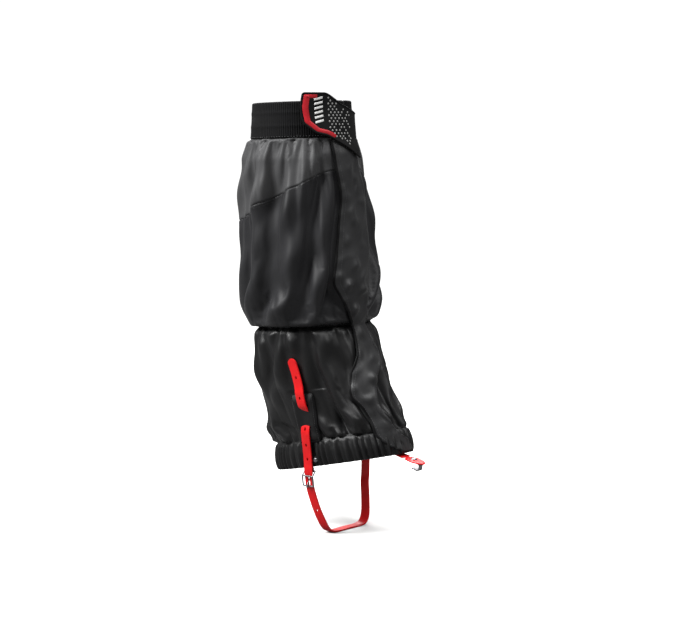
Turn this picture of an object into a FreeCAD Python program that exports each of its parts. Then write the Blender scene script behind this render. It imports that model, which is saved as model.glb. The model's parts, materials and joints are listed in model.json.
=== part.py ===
import FreeCAD, Part
import math
import os
from FreeCAD import Placement, Rotation, Vector

# Hiking gaiter for the right foot: a tall sleeve round calf and boot, closed by a storm flap
# and a tab, held down by a strap under the instep and a hook for the laces.
# Frame: origin under the middle of the instep strap, +X to the toe, -Y to the outside of
# the leg (the buckle's side), +Z up.  Lengths are millimetres, tilts are degrees.

os.makedirs("parts", exist_ok=True)
doc = FreeCAD.newDocument("gaiter")

# ------------------------------------------------------------------ driving dimensions
# Level sections of the sleeve's outside, top to bottom: each is an ellipse
# (centre_x, centre_z, half_length along X, half_width along Y, tilt with the front up).
STATIONS = {
    "tab_top": (-69, 524, 60, 58.5, 2),
    "cuff_top": (-69, 507, 60, 59, 2),
    "cuff_base": (-68, 464, 63, 62, 2),
    "yoke": (-69, 444, 71, 69, 2),
    "yoke_seam": (-67, 388, 83, 73, 24),
    "shin": (-62, 345, 80, 77, 2),
    "bulge": (-57, 295, 83, 80, 2),
    "over_ankle": (-54, 262, 80, 77, 3),
    "ankle": (-50, 243, 75, 71, 4),
    "under_ankle": (-48, 226, 78, 70, 4),
    "gusset": (-38, 190, 84, 66, 6),
    "boot_top": (-22, 150, 90, 58, 9),
    "hem_top": (-8, 112, 93, 52, 11),
    "hem_middle": (-5, 97, 95, 51, 11.5),
    "hem_base": (-2, 82, 97, 50, 12),
}

# Distances out from the sleeve's outside at which each layer begins or ends.
LAYERS = {
    "elastic_inside": -3.2,
    "elastic_outside": -1.9,
    "cuff_inside": -2.2,
    "cloth_inside": -1.5,
    "sleeve_outside": 0,
    "hook_outside": 0.8,
    "loop_inside": 1.1,
    "flap_inside": 1.8,
    "flap_outside": 3.2,
    "flap_edge_outside": 3.7,
    "cuff_loop_outside": 1.8,
    "tab_hook_inside": 2.1,
    "tab_inside": 4.2,
    "tab_outside": 5.6,
    "tab_edge_outside": 6.1,
    "strap_patch_outside": 4.0,
    "medial_patch_outside": 1.5,
}

SIZES = {
    "strap_width": 12,
    "strap_thick": 2,
    "strap_room": 0.3,
    "strap_hole_width": 2.8,
    "strap_hole_long": 4.6,
    "prong_hole_long": 15.4,
    "strap_end_round": 5.9,
    "wire_radius": 0.95,
    "prong_radius": 0.8,
    "bar_clearance": 0.1,
    "loop_wall": 1.05,
    "buckle_half_width": 7.8,
    "prong_half_eye": 1.1,
    "prong_slot": 2.6,
    "leaf_thick": 2,
    "leaf_width": 20,
    "leaf_slope": 12,
    "rivet_head_radius": 3.8,
    "rivet_head_height": 1.6,
    "rivet_shank_radius": 1.5,
    "side_head_radius": 3,
    "hook_width": 7,
    "hook_thick": 1.2,
}

sheet = doc.addObject("Spreadsheet::Sheet", "Sizes")


def add_cell(row, alias, value):
    """One plain number of the sheet, with its alias beside it."""
    sheet.set(f"A{row}", alias)
    sheet.set(f"B{row}", str(value))
    sheet.setAlias(f"B{row}", alias)


cells = dict(SIZES)
cells.update({f"layer_{name}": value for name, value in LAYERS.items()})
for name, values in STATIONS.items():
    for size, value in zip(("centre_x", "centre_z", "half_length", "half_width", "tilt"), values):
        cells[f"{name}_{size}"] = value
for row, (alias, value) in enumerate(cells.items(), start=1):
    add_cell(row, alias, value)
doc.recompute()

# Places on the outside of the foot where the strap, the buckle and the swing meet.
STRAP_X = -13
SWING_X = -12
SWING_Z = 54
HINGE_BAR = (-50.7, 76)
MIDDLE_BAR = (-55.75, 70)
OUTER_BAR = (-53.85, 58)
LEAF_PIVOT = Vector(96, -4, 98.5)

nodes = []


def keep(obj, name):
    """Label an object as a sub-part of the gaiter."""
    obj.Label = name
    nodes.append(obj)
    return obj


# ------------------------------------------------------------------ outlines
def corner_arc(before, corner, after, radius):
    """Start, middle and end of the arc that rounds one corner of an outline."""
    inward = (before - corner).normalize()
    outward = (after - corner).normalize()
    half_angle = inward.getAngle(outward) / 2
    reach = radius / math.tan(half_angle)
    bisector = (inward + outward).normalize()
    middle = corner + bisector * (radius / math.sin(half_angle) - radius)
    return corner + inward * reach, middle, corner + outward * reach


def closed_outline(points):
    """Edges of a closed outline; a point (u, v, radius) has a rounded corner."""
    corners = [Vector(point[0], point[1], 0) for point in points]
    radii = [point[2] if len(point) > 2 else 0 for point in points]
    edges = []
    starts = []
    ends = []
    for index, (corner, radius) in enumerate(zip(corners, radii)):
        start = end = corner
        if radius > 0:
            after = corners[(index + 1) % len(corners)]
            start, middle, end = corner_arc(corners[index - 1], corner, after, radius)
            edges.append(Part.Arc(start, middle, end))
        starts.append(start)
        ends.append(end)
    for index, end in enumerate(ends):
        start = starts[(index + 1) % len(starts)]
        if end.distanceToPoint(start) > 1e-6:
            edges.append(Part.LineSegment(end, start))
    return edges


def parallel(path, distance):
    """Path moved sideways by a distance, to the left where it is positive."""
    points = [Vector(point[0], point[1], 0) for point in path]
    normals = []
    for first, second in zip(points, points[1:]):
        run = (second - first).normalize()
        normals.append(Vector(-run.y, run.x, 0))
    moved = []
    for index, point in enumerate(points):
        before = normals[max(index - 1, 0)]
        after = normals[min(index, len(normals) - 1)]
        mitre = (before + after).normalize()
        place = point + mitre * (distance / mitre.dot(after))
        radius = path[index][2] if len(path[index]) > 2 else 0
        if radius > 0:
            turns_left = before.cross(after).z > 0
            radius += -distance if turns_left else distance
        moved.append((place.x, place.y, radius))
    return moved


def band(path, width, end_radius=0):
    """Closed outline of a strip of one width along a path."""
    left = parallel(path, width / 2)
    right = parallel(path, -width / 2)[::-1]
    outline = left + right
    if end_radius > 0:
        for index in (0, len(left) - 1, len(left), len(outline) - 1):
            outline[index] = (outline[index][0], outline[index][1], end_radius)
    return outline


def oblong(centre, length, width, lean):
    """Closed outline of an oval hole, its length leaning from the vertical by an angle."""
    half_run = Vector(math.sin(math.radians(lean)), math.cos(math.radians(lean)), 0) * ((length - width) / 2)
    middle = Vector(centre[0], centre[1], 0)
    ends = [middle - half_run, middle + half_run]
    path = [(end.x, end.y) for end in (ends[0] - half_run.normalize() * (width / 2),
                                       ends[1] + half_run.normalize() * (width / 2))]
    return band(path, width, width / 2 - 0.01)


PLANE_ROLES = {"XY": "XY_Plane", "XZ": "XZ_Plane", "YZ": "YZ_Plane"}


def prism(name, plane, start, end, *outlines):
    """Body padded from closed outlines between two distances along the plane's normal.

    YZ outlines run along +X, XZ outlines along -Y and XY outlines along +Z.
    """
    body = doc.addObject("PartDesign::Body", name)
    sketch = body.newObject("Sketcher::SketchObject", f"{name}_sketch")
    planes = [item for item in body.Origin.OriginFeatures if item.Role == PLANE_ROLES[plane]]
    sketch.AttachmentSupport = [(planes[0], "")]
    sketch.MapMode = "FlatFace"
    sketch.AttachmentOffset = Placement(Vector(0, 0, start), Rotation())
    for outline in outlines:
        sketch.addGeometry(closed_outline(outline))
    pad = body.newObject("PartDesign::Pad", f"{name}_pad")
    pad.Profile = sketch
    pad.Length = end - start
    return body


def boolean(kind, name, base, tool):
    """Part::Cut or Part::Common of two objects."""
    result = doc.addObject(f"Part::{kind}", name)
    result.Base = base
    result.Tool = tool
    result.Refine = False
    return result


def fuse(name, pieces):
    """One solid from several that touch."""
    result = doc.addObject("Part::MultiFuse", name)
    result.Shapes = pieces
    return result


def box(name, low, high):
    """Box between two corners."""
    result = doc.addObject("Part::Box", name)
    result.Length = high[0] - low[0]
    result.Width = high[1] - low[1]
    result.Height = high[2] - low[2]
    result.Placement.Base = Vector(*low)
    return result


def rod(name, radius_cell, start, end, extra=0):
    """Cylinder between two points, its radius taken from a cell."""
    result = doc.addObject("Part::Cylinder", name)
    run = Vector(*end) - Vector(*start)
    result.setExpression("Radius", f"Sizes.{radius_cell} + {extra}")
    result.Height = run.Length
    result.Placement = Placement(Vector(*start), Rotation(Vector(0, 0, 1), run))
    return result


def ball(name, radius_cell, centre):
    """Ball that joins two rods of one wire at a bend."""
    result = doc.addObject("Part::Sphere", name)
    result.setExpression("Radius", f"Sizes.{radius_cell}")
    result.Placement.Base = Vector(*centre)
    return result


def wire(name, radius_cell, points):
    """Bent wire: a rod along each run and a ball at each point."""
    pieces = [ball(f"{name}_bend_{index}", radius_cell, point) for index, point in enumerate(points)]
    for index, (start, end) in enumerate(zip(points, points[1:])):
        pieces.append(rod(f"{name}_run_{index}", radius_cell, start, end))
    return pieces


# ------------------------------------------------------------------ sleeve layers
rings = {}


def ring(station, layer):
    """Ellipse of one station at one layer's distance from the sleeve's outside."""
    if (station, layer) not in rings:
        ellipse = doc.addObject("Part::Ellipse", f"{station}_{layer}")
        distance = f"Sizes.layer_{layer}"
        ellipse.setExpression("MajorRadius", f"Sizes.{station}_half_length + {distance}")
        ellipse.setExpression("MinorRadius", f"Sizes.{station}_half_width + {distance}")
        place = f"vector(Sizes.{station}_centre_x; 0; Sizes.{station}_centre_z)"
        turn = f"rotation(vector(0; 1; 0); -Sizes.{station}_tilt)"
        ellipse.setExpression("Placement", f"placement({place}; {turn})")
        rings[station, layer] = ellipse
    return rings[station, layer]


def skin(name, top, bottom, inside, outside):
    """Tube wall between two layers, from one station down to another."""
    order = list(STATIONS)
    stations = order[order.index(top):order.index(bottom) + 1]
    lofts = []
    for layer in (outside, inside):
        loft = doc.addObject("Part::Loft", f"{name}_{layer}")
        loft.Sections = [ring(station, layer) for station in stations]
        loft.Solid = True
        loft.Ruled = True
        lofts.append(loft)
    return boolean("Cut", f"{name}_wall", lofts[0], lofts[1])


# Line down the front opening as (y, z); it stays under the flap from top to toe.
OPENING = [(6, 540), (6, 460), (2, 400), (-8, 320), (-9, 260), (-6, 235), (-20, 190),
           (-27, 160), (-20, 130), (-4, 112), (2, 95), (2, 50)]
OPENING_GAP = 3
SPLIT_X = -40
FRONT_X = 150
BACK_X = -200
SIDE_Y = 150

lateral_front = prism("lateral_front", "YZ", SPLIT_X, FRONT_X, [(-SIDE_Y, 50), (-SIDE_Y, 540)] + OPENING)
lateral_back = box("lateral_back", (BACK_X, -SIDE_Y, 50), (SPLIT_X, 0, 540))
lateral_half = fuse("lateral_half", [lateral_front, lateral_back])
medial_line = [(y + OPENING_GAP, z) for y, z in OPENING]
medial_front = prism("medial_front", "YZ", SPLIT_X, FRONT_X, [(SIDE_Y, 50), (SIDE_Y, 540)] + medial_line)
medial_back = box("medial_back", (BACK_X, 0, 50), (SPLIT_X, SIDE_Y, 540))
medial_half = fuse("medial_half", [medial_front, medial_back])
front_gap = prism("front_gap", "YZ", SPLIT_X, FRONT_X, OPENING + medial_line[::-1])

cuff = skin("cuff", "cuff_top", "cuff_base", "cuff_inside", "sleeve_outside")
keep(boolean("Cut", "ribbed_cuff_cut", cuff, front_gap), "ribbed_cuff")

PANELS = {
    "yoke_panel": ("cuff_base", "yoke_seam"),
    "main_panel": ("yoke_seam", "ankle"),
    "boot_panel": ("ankle", "hem_top"),
}
for panel, (top, bottom) in PANELS.items():
    wall = skin(panel, top, bottom, "cloth_inside", "sleeve_outside")
    keep(boolean("Common", f"{panel}_outer_half", wall, lateral_half), f"{panel}_lateral")
    keep(boolean("Common", f"{panel}_inner_half", wall, medial_half), f"{panel}_medial")

hem = skin("hem", "hem_top", "hem_base", "cloth_inside", "sleeve_outside")
keep(boolean("Cut", "hem_band_cut", hem, front_gap), "hem_band")

ankle_inside = skin("ankle_inside", "over_ankle", "under_ankle", "elastic_inside", "elastic_outside")
ankle_slice = box("ankle_slice", (BACK_X, -SIDE_Y, 238), (FRONT_X, SIDE_Y, 250))
ankle_ring = boolean("Common", "ankle_ring", ankle_inside, ankle_slice)
keep(boolean("Cut", "ankle_elastic_cut", ankle_ring, front_gap), "ankle_elastic")
hem_inside = skin("hem_inside", "hem_middle", "hem_base", "elastic_inside", "elastic_outside")
keep(boolean("Cut", "hem_elastic_cut", hem_inside, front_gap), "hem_elastic")

# ------------------------------------------------------------------ front flap and its tapes
FREE_EDGE = [(-23, 462), (-20, 399), (-27, 367), (-36, 324), (-41, 299), (-35, 285), (-25, 260),
             (-17, 247), (-19, 232), (-23, 219), (-35, 192), (-40, 168), (-36, 160), (-31, 145),
             (-30, 124), (-22, 112), (-10, 104)]
SEWN_EDGE = [(18, 462), (22, 418), (24, 398), (19, 350), (13, 300), (7, 260), (9, 227), (14, 213),
             (7, 200), (-4, 188), (-14, 176), (-18, 163), (-18, 151), (-13, 138), (-6, 126),
             (6, 116), (9, 104)]
BINDING_WIDTH = 3
FLAP_BACK_X = -25

flap_face = parallel(FREE_EDGE, BINDING_WIDTH)
flap_outline = prism("flap_outline", "YZ", FLAP_BACK_X, FRONT_X, flap_face + SEWN_EDGE[::-1])
flap_skin = skin("flap", "cuff_top", "hem_base", "flap_inside", "flap_outside")
keep(boolean("Common", "front_flap_cloth", flap_skin, flap_outline), "front_flap")

edge_outline = prism("flap_edge_outline", "YZ", FLAP_BACK_X, FRONT_X, FREE_EDGE + flap_face[::-1])
edge_skin = skin("flap_edge", "cuff_top", "hem_base", "flap_inside", "flap_edge_outside")
keep(boolean("Common", "flap_binding_cloth", edge_skin, edge_outline), "flap_binding")

TAPE_LINE = [(y - 5.8, z) for y, z in OPENING if 120 < z < 460]
TAPE_WIDTH = 6
tape_outline = prism("tape_outline", "YZ", FLAP_BACK_X, FRONT_X, band(TAPE_LINE, TAPE_WIDTH))
hook_skin = skin("hook_tape", "yoke", "hem_top", "sleeve_outside", "hook_outside")
keep(boolean("Common", "hook_tape", hook_skin, tape_outline), "front_hook_strip")
loop_skin = skin("loop_tape", "yoke", "hem_top", "loop_inside", "flap_inside")
keep(boolean("Common", "loop_tape", loop_skin, tape_outline), "flap_loop_strip")

# ------------------------------------------------------------------ closing tab at the cuff
TAB_RIM = [(23, 494), (17, 496), (-5, 505), (-19, 515), (-24, 518, 3), (-45, 518, 3), (-47, 500),
           (-46, 482, 3), (-36, 470, 3), (-25, 467), (-14, 459), (0, 450), (17, 441)]
TAB_BACK_X = -52
TAB_FRONT_X = 60
TAB_BINDING = 2
STRIPE_WIDTH = 4.7

tab_face_line = parallel([(y, z) for y, z, *_ in TAB_RIM], TAB_BINDING)
stripe_line = parallel([(y, z) for y, z, *_ in TAB_RIM], TAB_BINDING + STRIPE_WIDTH)
tab_skin = skin("tab", "tab_top", "yoke_seam", "tab_inside", "tab_outside")
tab_face = prism("tab_face", "YZ", TAB_BACK_X, TAB_FRONT_X, tab_face_line)
keep(boolean("Common", "closing_tab_cloth", tab_skin, tab_face), "closing_tab")

rim_skin = skin("tab_rim", "tab_top", "yoke_seam", "tab_inside", "tab_edge_outside")
rim_outline = prism("tab_rim_outline", "YZ", TAB_BACK_X, TAB_FRONT_X, TAB_RIM + tab_face_line[::-1])
keep(boolean("Common", "tab_binding_cloth", rim_skin, rim_outline), "tab_binding")

STRIPE_FIRST = 5
STRIPE_LAST = 9
stripe_skin = skin("tab_stripe", "tab_top", "yoke_seam", "tab_outside", "tab_edge_outside")
stripe_outline = prism("tab_stripe_outline", "YZ", TAB_BACK_X, TAB_FRONT_X,
                       tab_face_line[STRIPE_FIRST:STRIPE_LAST + 1]
                       + stripe_line[STRIPE_FIRST:STRIPE_LAST + 1][::-1])
keep(boolean("Common", "tab_stripe_cloth", stripe_skin, stripe_outline), "tab_stripe")

patch_outline = prism("cuff_patch_outline", "YZ", TAB_BACK_X, TAB_FRONT_X,
                      [(-43, 500, 2), (-43, 480, 2), (-27, 474, 2), (-27, 503, 2)])
loop_patch_skin = skin("cuff_patch", "cuff_top", "cuff_base", "sleeve_outside", "cuff_loop_outside")
keep(boolean("Common", "cuff_patch", loop_patch_skin, patch_outline), "cuff_loop_patch")
hook_patch_skin = skin("tab_patch", "cuff_top", "cuff_base", "tab_hook_inside", "tab_inside")
keep(boolean("Common", "tab_patch", hook_patch_skin, patch_outline), "tab_hook_patch")

# ------------------------------------------------------------------ instep strap
WIDTH = SIZES["strap_width"]
THICK = SIZES["strap_thick"]
ROOM = SIZES["strap_room"]
ROUND = SIZES["strap_end_round"]
STRAP_LOW_X = -60
STRAP_HIGH_X = 40

# The strap seen edge-on (y, z) and from the side (x, z).
TAIL_EDGE = [(-69, 210), (-64.9, 178), (-65.2, 168), (-63.6, 155), (-58.6, 146.5), (-56.4, 132),
             (-59.1, 123.5), (-57.4, 110), (-54.7, 95), (-54.1, 84), (-54.1, 76), (-53.4, 70),
             (-51.6, 58), (-51.6, 46)]
TAIL_SIDE = [(-27, 209), (-18.5, 178), (-13.5, 147), (-13, 100), (SWING_X, SWING_Z - WIDTH / 2)]
TAIL_HOLES = [(-21.3, 187, 17), (-16, 163, 9), (-13.2, 126, 1), (-13, 107, 1), (-12.9, 90, 0)]
PRONG_HOLE = (-12.6, 64.5, 0)
INSTEP_HOLES = [(-6.5, 28, 13)]


def hole_outlines(places, length_cell):
    """Oval holes through the strap, each at (x, z, lean)."""
    return [oblong(place[:2], SIZES[length_cell], SIZES["strap_hole_width"], -place[2]) for place in places]


tail_edge = prism("tail_edge", "YZ", STRAP_LOW_X, STRAP_HIGH_X, band(TAIL_EDGE, THICK))
tail_side = prism("tail_side", "XZ", 30, 90, band(TAIL_SIDE, WIDTH, ROUND),
                  *hole_outlines(TAIL_HOLES, "strap_hole_long"),
                  *hole_outlines([PRONG_HOLE], "prong_hole_long"))
keep(boolean("Common", "tail_strip", tail_edge, tail_side), "strap_tail")

room_edge = prism("strap_room_edge", "YZ", STRAP_LOW_X, STRAP_HIGH_X, band(TAIL_EDGE, THICK + 2 * ROOM))
room_side = prism("strap_room_side", "XZ", 30, 90, band(TAIL_SIDE, WIDTH + 2 * ROOM))
strap_room = boolean("Common", "strap_room_space", room_edge, room_side)
patch_skin = skin("strap_patch", "under_ankle", "hem_base", "sleeve_outside", "strap_patch_outside")
patch_side = prism("strap_patch_side", "XZ", 30, 90,
                   [(-32, 165, 5), (-2, 170, 5), (6, 112, 5), (-26, 106, 5)])
patch_solid = boolean("Common", "strap_patch_solid", patch_skin, patch_side)
keep(boolean("Cut", "strap_patch_slotted", patch_solid, strap_room), "strap_patch")

INSTEP_EDGE = [(-49.3, 61), (-42, 13, 12), (-28, 1, 10), (28, 1, 10), (42, 13, 12), (49.3, 61)]
INSTEP_SIDE = [(-18, 60, ROUND), (-18, 52), (-6, 6), (-6, -1), (6, -1), (6, 6), (-6, 52), (-6, 60, ROUND)]
instep_edge = prism("instep_edge", "YZ", STRAP_LOW_X, STRAP_HIGH_X, band(INSTEP_EDGE, THICK))
instep_side = prism("instep_side", "XZ", -60, 60, INSTEP_SIDE, *hole_outlines(INSTEP_HOLES, "strap_hole_long"))
keep(boolean("Common", "instep_strip", instep_edge, instep_side), "instep_strap")

MEDIAL_EDGE = [(56.3, 120), (52.9, 84), (51.6, 46)]
MEDIAL_SIDE = [(-13, 119), (-13, 100), (SWING_X, SWING_Z - WIDTH / 2)]
medial_edge = prism("medial_edge", "YZ", STRAP_LOW_X, STRAP_HIGH_X, band(MEDIAL_EDGE, THICK))
medial_side = prism("medial_side", "XZ", -90, -30, band(MEDIAL_SIDE, WIDTH, ROUND))
keep(boolean("Common", "medial_strip", medial_edge, medial_side), "strap_medial_end")

medial_patch_skin = skin("medial_patch", "boot_top", "hem_base", "sleeve_outside", "medial_patch_outside")
medial_patch_side = prism("medial_patch_side", "XZ", -90, -30,
                          [(-29, 128, 5), (3, 130, 5), (3, 96, 5), (-29, 90, 5)])
keep(boolean("Common", "medial_patch_cloth", medial_patch_skin, medial_patch_side), "medial_strap_patch")


# ------------------------------------------------------------------ rivets
def rivet(name, head_cell, head_place, outward, shank_length):
    """Domed head with a shank behind it, its axis pointing out of the cloth."""
    body = doc.addObject("PartDesign::Body", name)
    sketch = body.newObject("Sketcher::SketchObject", f"{name}_sketch")
    planes = [item for item in body.Origin.OriginFeatures if item.Role == "XZ_Plane"]
    sketch.AttachmentSupport = [(planes[0], "")]
    sketch.MapMode = "FlatFace"
    radius = SIZES[head_cell]
    height = SIZES["rivet_head_height"]
    shank = SIZES["rivet_shank_radius"]
    flat = radius / 4
    shoulder = Vector(flat + (radius - flat) * 0.7, height * 0.7, 0)
    profile = [
        Part.LineSegment(Vector(0, -shank_length, 0), Vector(shank, -shank_length, 0)),
        Part.LineSegment(Vector(shank, -shank_length, 0), Vector(shank, 0, 0)),
        Part.LineSegment(Vector(shank, 0, 0), Vector(radius, 0, 0)),
        Part.Arc(Vector(radius, 0, 0), shoulder, Vector(flat, height, 0)),
        Part.LineSegment(Vector(flat, height, 0), Vector(0, height, 0)),
        Part.LineSegment(Vector(0, height, 0), Vector(0, -shank_length, 0)),
    ]
    sketch.addGeometry(profile)
    turned = body.newObject("PartDesign::Revolution", f"{name}_turned")
    turned.Profile = sketch
    turned.ReferenceAxis = (sketch, ["V_Axis"])
    turned.Angle = 360
    body.Placement = Placement(head_place, Rotation(Vector(0, 0, 1), outward))
    return body


upper_rivet = rivet("upper_medial_rivet", "side_head_radius", Vector(-13, 56.2, 110), Vector(0, 1, -0.09), 4.2)
lower_rivet = rivet("lower_medial_rivet", "side_head_radius", Vector(-13, 55.1, 97), Vector(0, 1, -0.09), 4.2)
keep(fuse("medial_rivet_pair", [upper_rivet, lower_rivet]), "medial_rivets")

# ------------------------------------------------------------------ buckle
BAR_Y, BAR_Z = HINGE_BAR
HALF = SIZES["buckle_half_width"]
left_x = STRAP_X - HALF
right_x = STRAP_X + HALF
frame_wires = wire("buckle_sides", "wire_radius", [
    (left_x, *OUTER_BAR), (left_x, *MIDDLE_BAR), (left_x, *HINGE_BAR), (right_x, *HINGE_BAR),
    (right_x, *MIDDLE_BAR), (right_x, *OUTER_BAR), (left_x, *OUTER_BAR)])
frame_wires.append(rod("buckle_middle", "wire_radius", (left_x, *MIDDLE_BAR), (right_x, *MIDDLE_BAR)))
keep(fuse("buckle_wires", frame_wires), "buckle_frame")

EYE_HALF = SIZES["prong_half_eye"]
eye_low = (STRAP_X - EYE_HALF, *HINGE_BAR)
eye_high = (STRAP_X + EYE_HALF, *HINGE_BAR)
eye_hole_low = (STRAP_X - 20, *HINGE_BAR)
eye_hole_high = (STRAP_X + 20, *HINGE_BAR)
prong_wires = wire("prong", "prong_radius", [
    (STRAP_X, -50.7, 74.4), (STRAP_X, -50.7, 67.5), (STRAP_X, -55.75, 58.6), (STRAP_X, -55.75, 56.6)])
prong_wires.append(rod("prong_eye", "wire_radius", eye_low, eye_high, "Sizes.loop_wall"))
prong_solid = fuse("prong_solid", prong_wires)
prong_bore = rod("prong_bore", "wire_radius", eye_hole_low, eye_hole_high, "Sizes.bar_clearance")
keep(boolean("Cut", "prong_cut", prong_solid, prong_bore), "buckle_prong")

LOOP_LOW_X = -18
LOOP_HIGH_X = -8
EAR_HIGH_X = 2
BEND_RADIUS = 2.1
loop_side = prism("loop_side", "YZ", LOOP_LOW_X, EAR_HIGH_X, [
    (BAR_Y - BEND_RADIUS, BAR_Z - BEND_RADIUS, BEND_RADIUS - 0.01),
    (BAR_Y + BEND_RADIUS, BAR_Z - BEND_RADIUS, BEND_RADIUS - 0.01),
    (BAR_Y + BEND_RADIUS, BAR_Z), (-49.7, 77.8), (-50.4, 79.6), (-51.3, 94), (-53.3, 94)])
beside_loop = box("beside_loop", (LOOP_HIGH_X, -60, 70), (EAR_HIGH_X + 1, -40, 85))
loop_cloth = boolean("Cut", "loop_cloth", loop_side, beside_loop)
prong_slot = box("prong_slot", (STRAP_X - SIZES["prong_slot"] / 2, -60, 70),
                 (STRAP_X + SIZES["prong_slot"] / 2, -40, 81))
loop_slotted = boolean("Cut", "loop_slotted", loop_cloth, prong_slot)
loop_bore = rod("loop_bore", "wire_radius", eye_hole_low, eye_hole_high, "Sizes.bar_clearance")
keep(boolean("Cut", "loop_bored", loop_slotted, loop_bore), "buckle_loop")

ear_rivet = rivet("ear_rivet", "side_head_radius", Vector(-2.5, -53.15, 90), Vector(0, -1, 0.03), 5.2)
keep(ear_rivet, "anchor_rivet")

# ------------------------------------------------------------------ lace hook
LEAF_LONG = 25
LEAF_HALF = SIZES["leaf_width"] / 2
leaf_turn = Rotation(Vector(0, 1, 0), SIZES["leaf_slope"])
leaf = prism("leaf", "XY", -SIZES["leaf_thick"], 0, [
    (0, -LEAF_HALF, 2), (LEAF_LONG, -LEAF_HALF, 9.9), (LEAF_LONG, LEAF_HALF, 9.9), (0, LEAF_HALF, 2)])
leaf.Placement = Placement(LEAF_PIVOT, leaf_turn)
keep(leaf, "lace_hook_tab")
ROOT_LONG = 17
FOLD_GAP = 1
leaf_root = prism("leaf_root", "XY", -SIZES["leaf_thick"], 0, [
    (-ROOT_LONG, -LEAF_HALF + 2, 3), (-FOLD_GAP, -LEAF_HALF, 2),
    (-FOLD_GAP, LEAF_HALF, 2), (-ROOT_LONG, LEAF_HALF - 2, 3)])
leaf_root.Placement = Placement(LEAF_PIVOT, leaf_turn)
keep(leaf_root, "lace_hook_anchor")

RIVET_ALONG = 9
hook_rivet = rivet("hook_rivet", "rivet_head_radius", Vector(0, 0, 0), Vector(0, 0, 1), 3.6)
hook_rivet.Placement = Placement(LEAF_PIVOT + leaf_turn.multVec(Vector(RIVET_ALONG, 0, 0)), leaf_turn)
keep(hook_rivet, "lace_hook_rivet")

HOOK_HALF = SIZES["hook_width"] / 2
plate = -SIZES["leaf_thick"]
hook_path = [(4, plate - 0.6), (20, plate - 0.6, 2), (20, plate - 8.8, 2), (10, plate - 7.8)]
hook = prism("hook", "XZ", -HOOK_HALF, HOOK_HALF, band(hook_path, SIZES["hook_thick"]))
hook.Placement = Placement(LEAF_PIVOT, leaf_turn)
keep(hook, "lace_hook")

# ------------------------------------------------------------------ checks and files
doc.recompute()
for obj in doc.Objects:
    if "Invalid" in obj.State or "Error" in obj.State:
        raise SystemExit(f"{obj.Name} failed: {obj.State}")
for node in nodes:
    shape = node.Shape
    if shape.isNull() or not shape.isValid() or not shape.Solids:
        raise SystemExit(f"{node.Label} has no valid solid")
    bounds = shape.BoundBox
    print(f"{node.Label:22s} {len(shape.Solids)} solid {shape.Volume:9.0f} mm3 "
          f"x {bounds.XMin:6.1f} {bounds.XMax:6.1f} y {bounds.YMin:6.1f} {bounds.YMax:6.1f} "
          f"z {bounds.ZMin:6.1f} {bounds.ZMax:6.1f}")
for node in nodes:
    node.Shape.exportStep(f"parts/{node.Label}.step")
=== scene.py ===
"""Looks of a tall hiking gaiter for the right foot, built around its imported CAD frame.

Lengths are metres in the CAD frame: +X to the toe, -Y to the outside of the leg, +Z up,
with the origin under the middle of the instep strap.
"""

import json
import math

import bpy
import numpy as np
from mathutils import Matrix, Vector


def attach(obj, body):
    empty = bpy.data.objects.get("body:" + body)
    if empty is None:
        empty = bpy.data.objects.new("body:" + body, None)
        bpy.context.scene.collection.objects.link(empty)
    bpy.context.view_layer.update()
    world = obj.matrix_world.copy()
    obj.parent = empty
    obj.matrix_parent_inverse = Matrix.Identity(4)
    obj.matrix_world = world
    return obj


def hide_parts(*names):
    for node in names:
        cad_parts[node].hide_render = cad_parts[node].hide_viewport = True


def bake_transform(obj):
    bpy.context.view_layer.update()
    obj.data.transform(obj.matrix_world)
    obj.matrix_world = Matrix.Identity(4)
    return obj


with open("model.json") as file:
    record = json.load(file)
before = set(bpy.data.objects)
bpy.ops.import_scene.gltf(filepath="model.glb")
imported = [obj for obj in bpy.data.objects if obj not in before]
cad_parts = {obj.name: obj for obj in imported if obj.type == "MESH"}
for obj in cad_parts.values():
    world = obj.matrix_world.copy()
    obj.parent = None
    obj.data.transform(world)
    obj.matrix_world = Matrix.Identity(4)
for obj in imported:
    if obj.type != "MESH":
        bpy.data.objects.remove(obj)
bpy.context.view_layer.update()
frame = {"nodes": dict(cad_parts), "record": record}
MM = 0.001
TAU = 2 * math.pi


# ------------------------------------------------------------------ camera, floor and lights
def aim(obj, target):
    """Turn an object so that its -Z looks at a point and its Y stays up."""
    obj.rotation_euler = (Vector(target) - obj.location).to_track_quat("-Z", "Y").to_euler()


LOOK_AT = Vector((-0.025, 0.0, 0.262))
CAMERA_AZIMUTH = math.radians(40)
CAMERA_DISTANCE = 2.3
CAMERA_HEIGHT = 0.5
LENS_MM = 99.9
SHIFT_X = 0.0286
SHIFT_Y = -0.0171

camera = bpy.data.objects.new("camera", bpy.data.cameras.new("camera"))
bpy.context.scene.collection.objects.link(camera)
camera.location = (LOOK_AT.x + CAMERA_DISTANCE * math.sin(CAMERA_AZIMUTH),
                   LOOK_AT.y - CAMERA_DISTANCE * math.cos(CAMERA_AZIMUTH), CAMERA_HEIGHT)
aim(camera, LOOK_AT)
camera.data.lens = LENS_MM
camera.data.shift_x = SHIFT_X
camera.data.shift_y = SHIFT_Y
camera.data.clip_end = 20
bpy.context.scene.camera = camera


def soft_light(name, azimuth, elevation, distance, size, power):
    """Square area light on a circle round the gaiter, at the camera's kind of azimuth."""
    data = bpy.data.lights.new(name, "AREA")
    data.size = size
    data.energy = power
    light = bpy.data.objects.new(name, data)
    bpy.context.scene.collection.objects.link(light)
    flat = distance * math.cos(math.radians(elevation))
    turn = math.radians(azimuth)
    light.location = (LOOK_AT.x + flat * math.sin(turn), LOOK_AT.y - flat * math.cos(turn),
                      LOOK_AT.z + distance * math.sin(math.radians(elevation)))
    aim(light, LOOK_AT)


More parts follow.
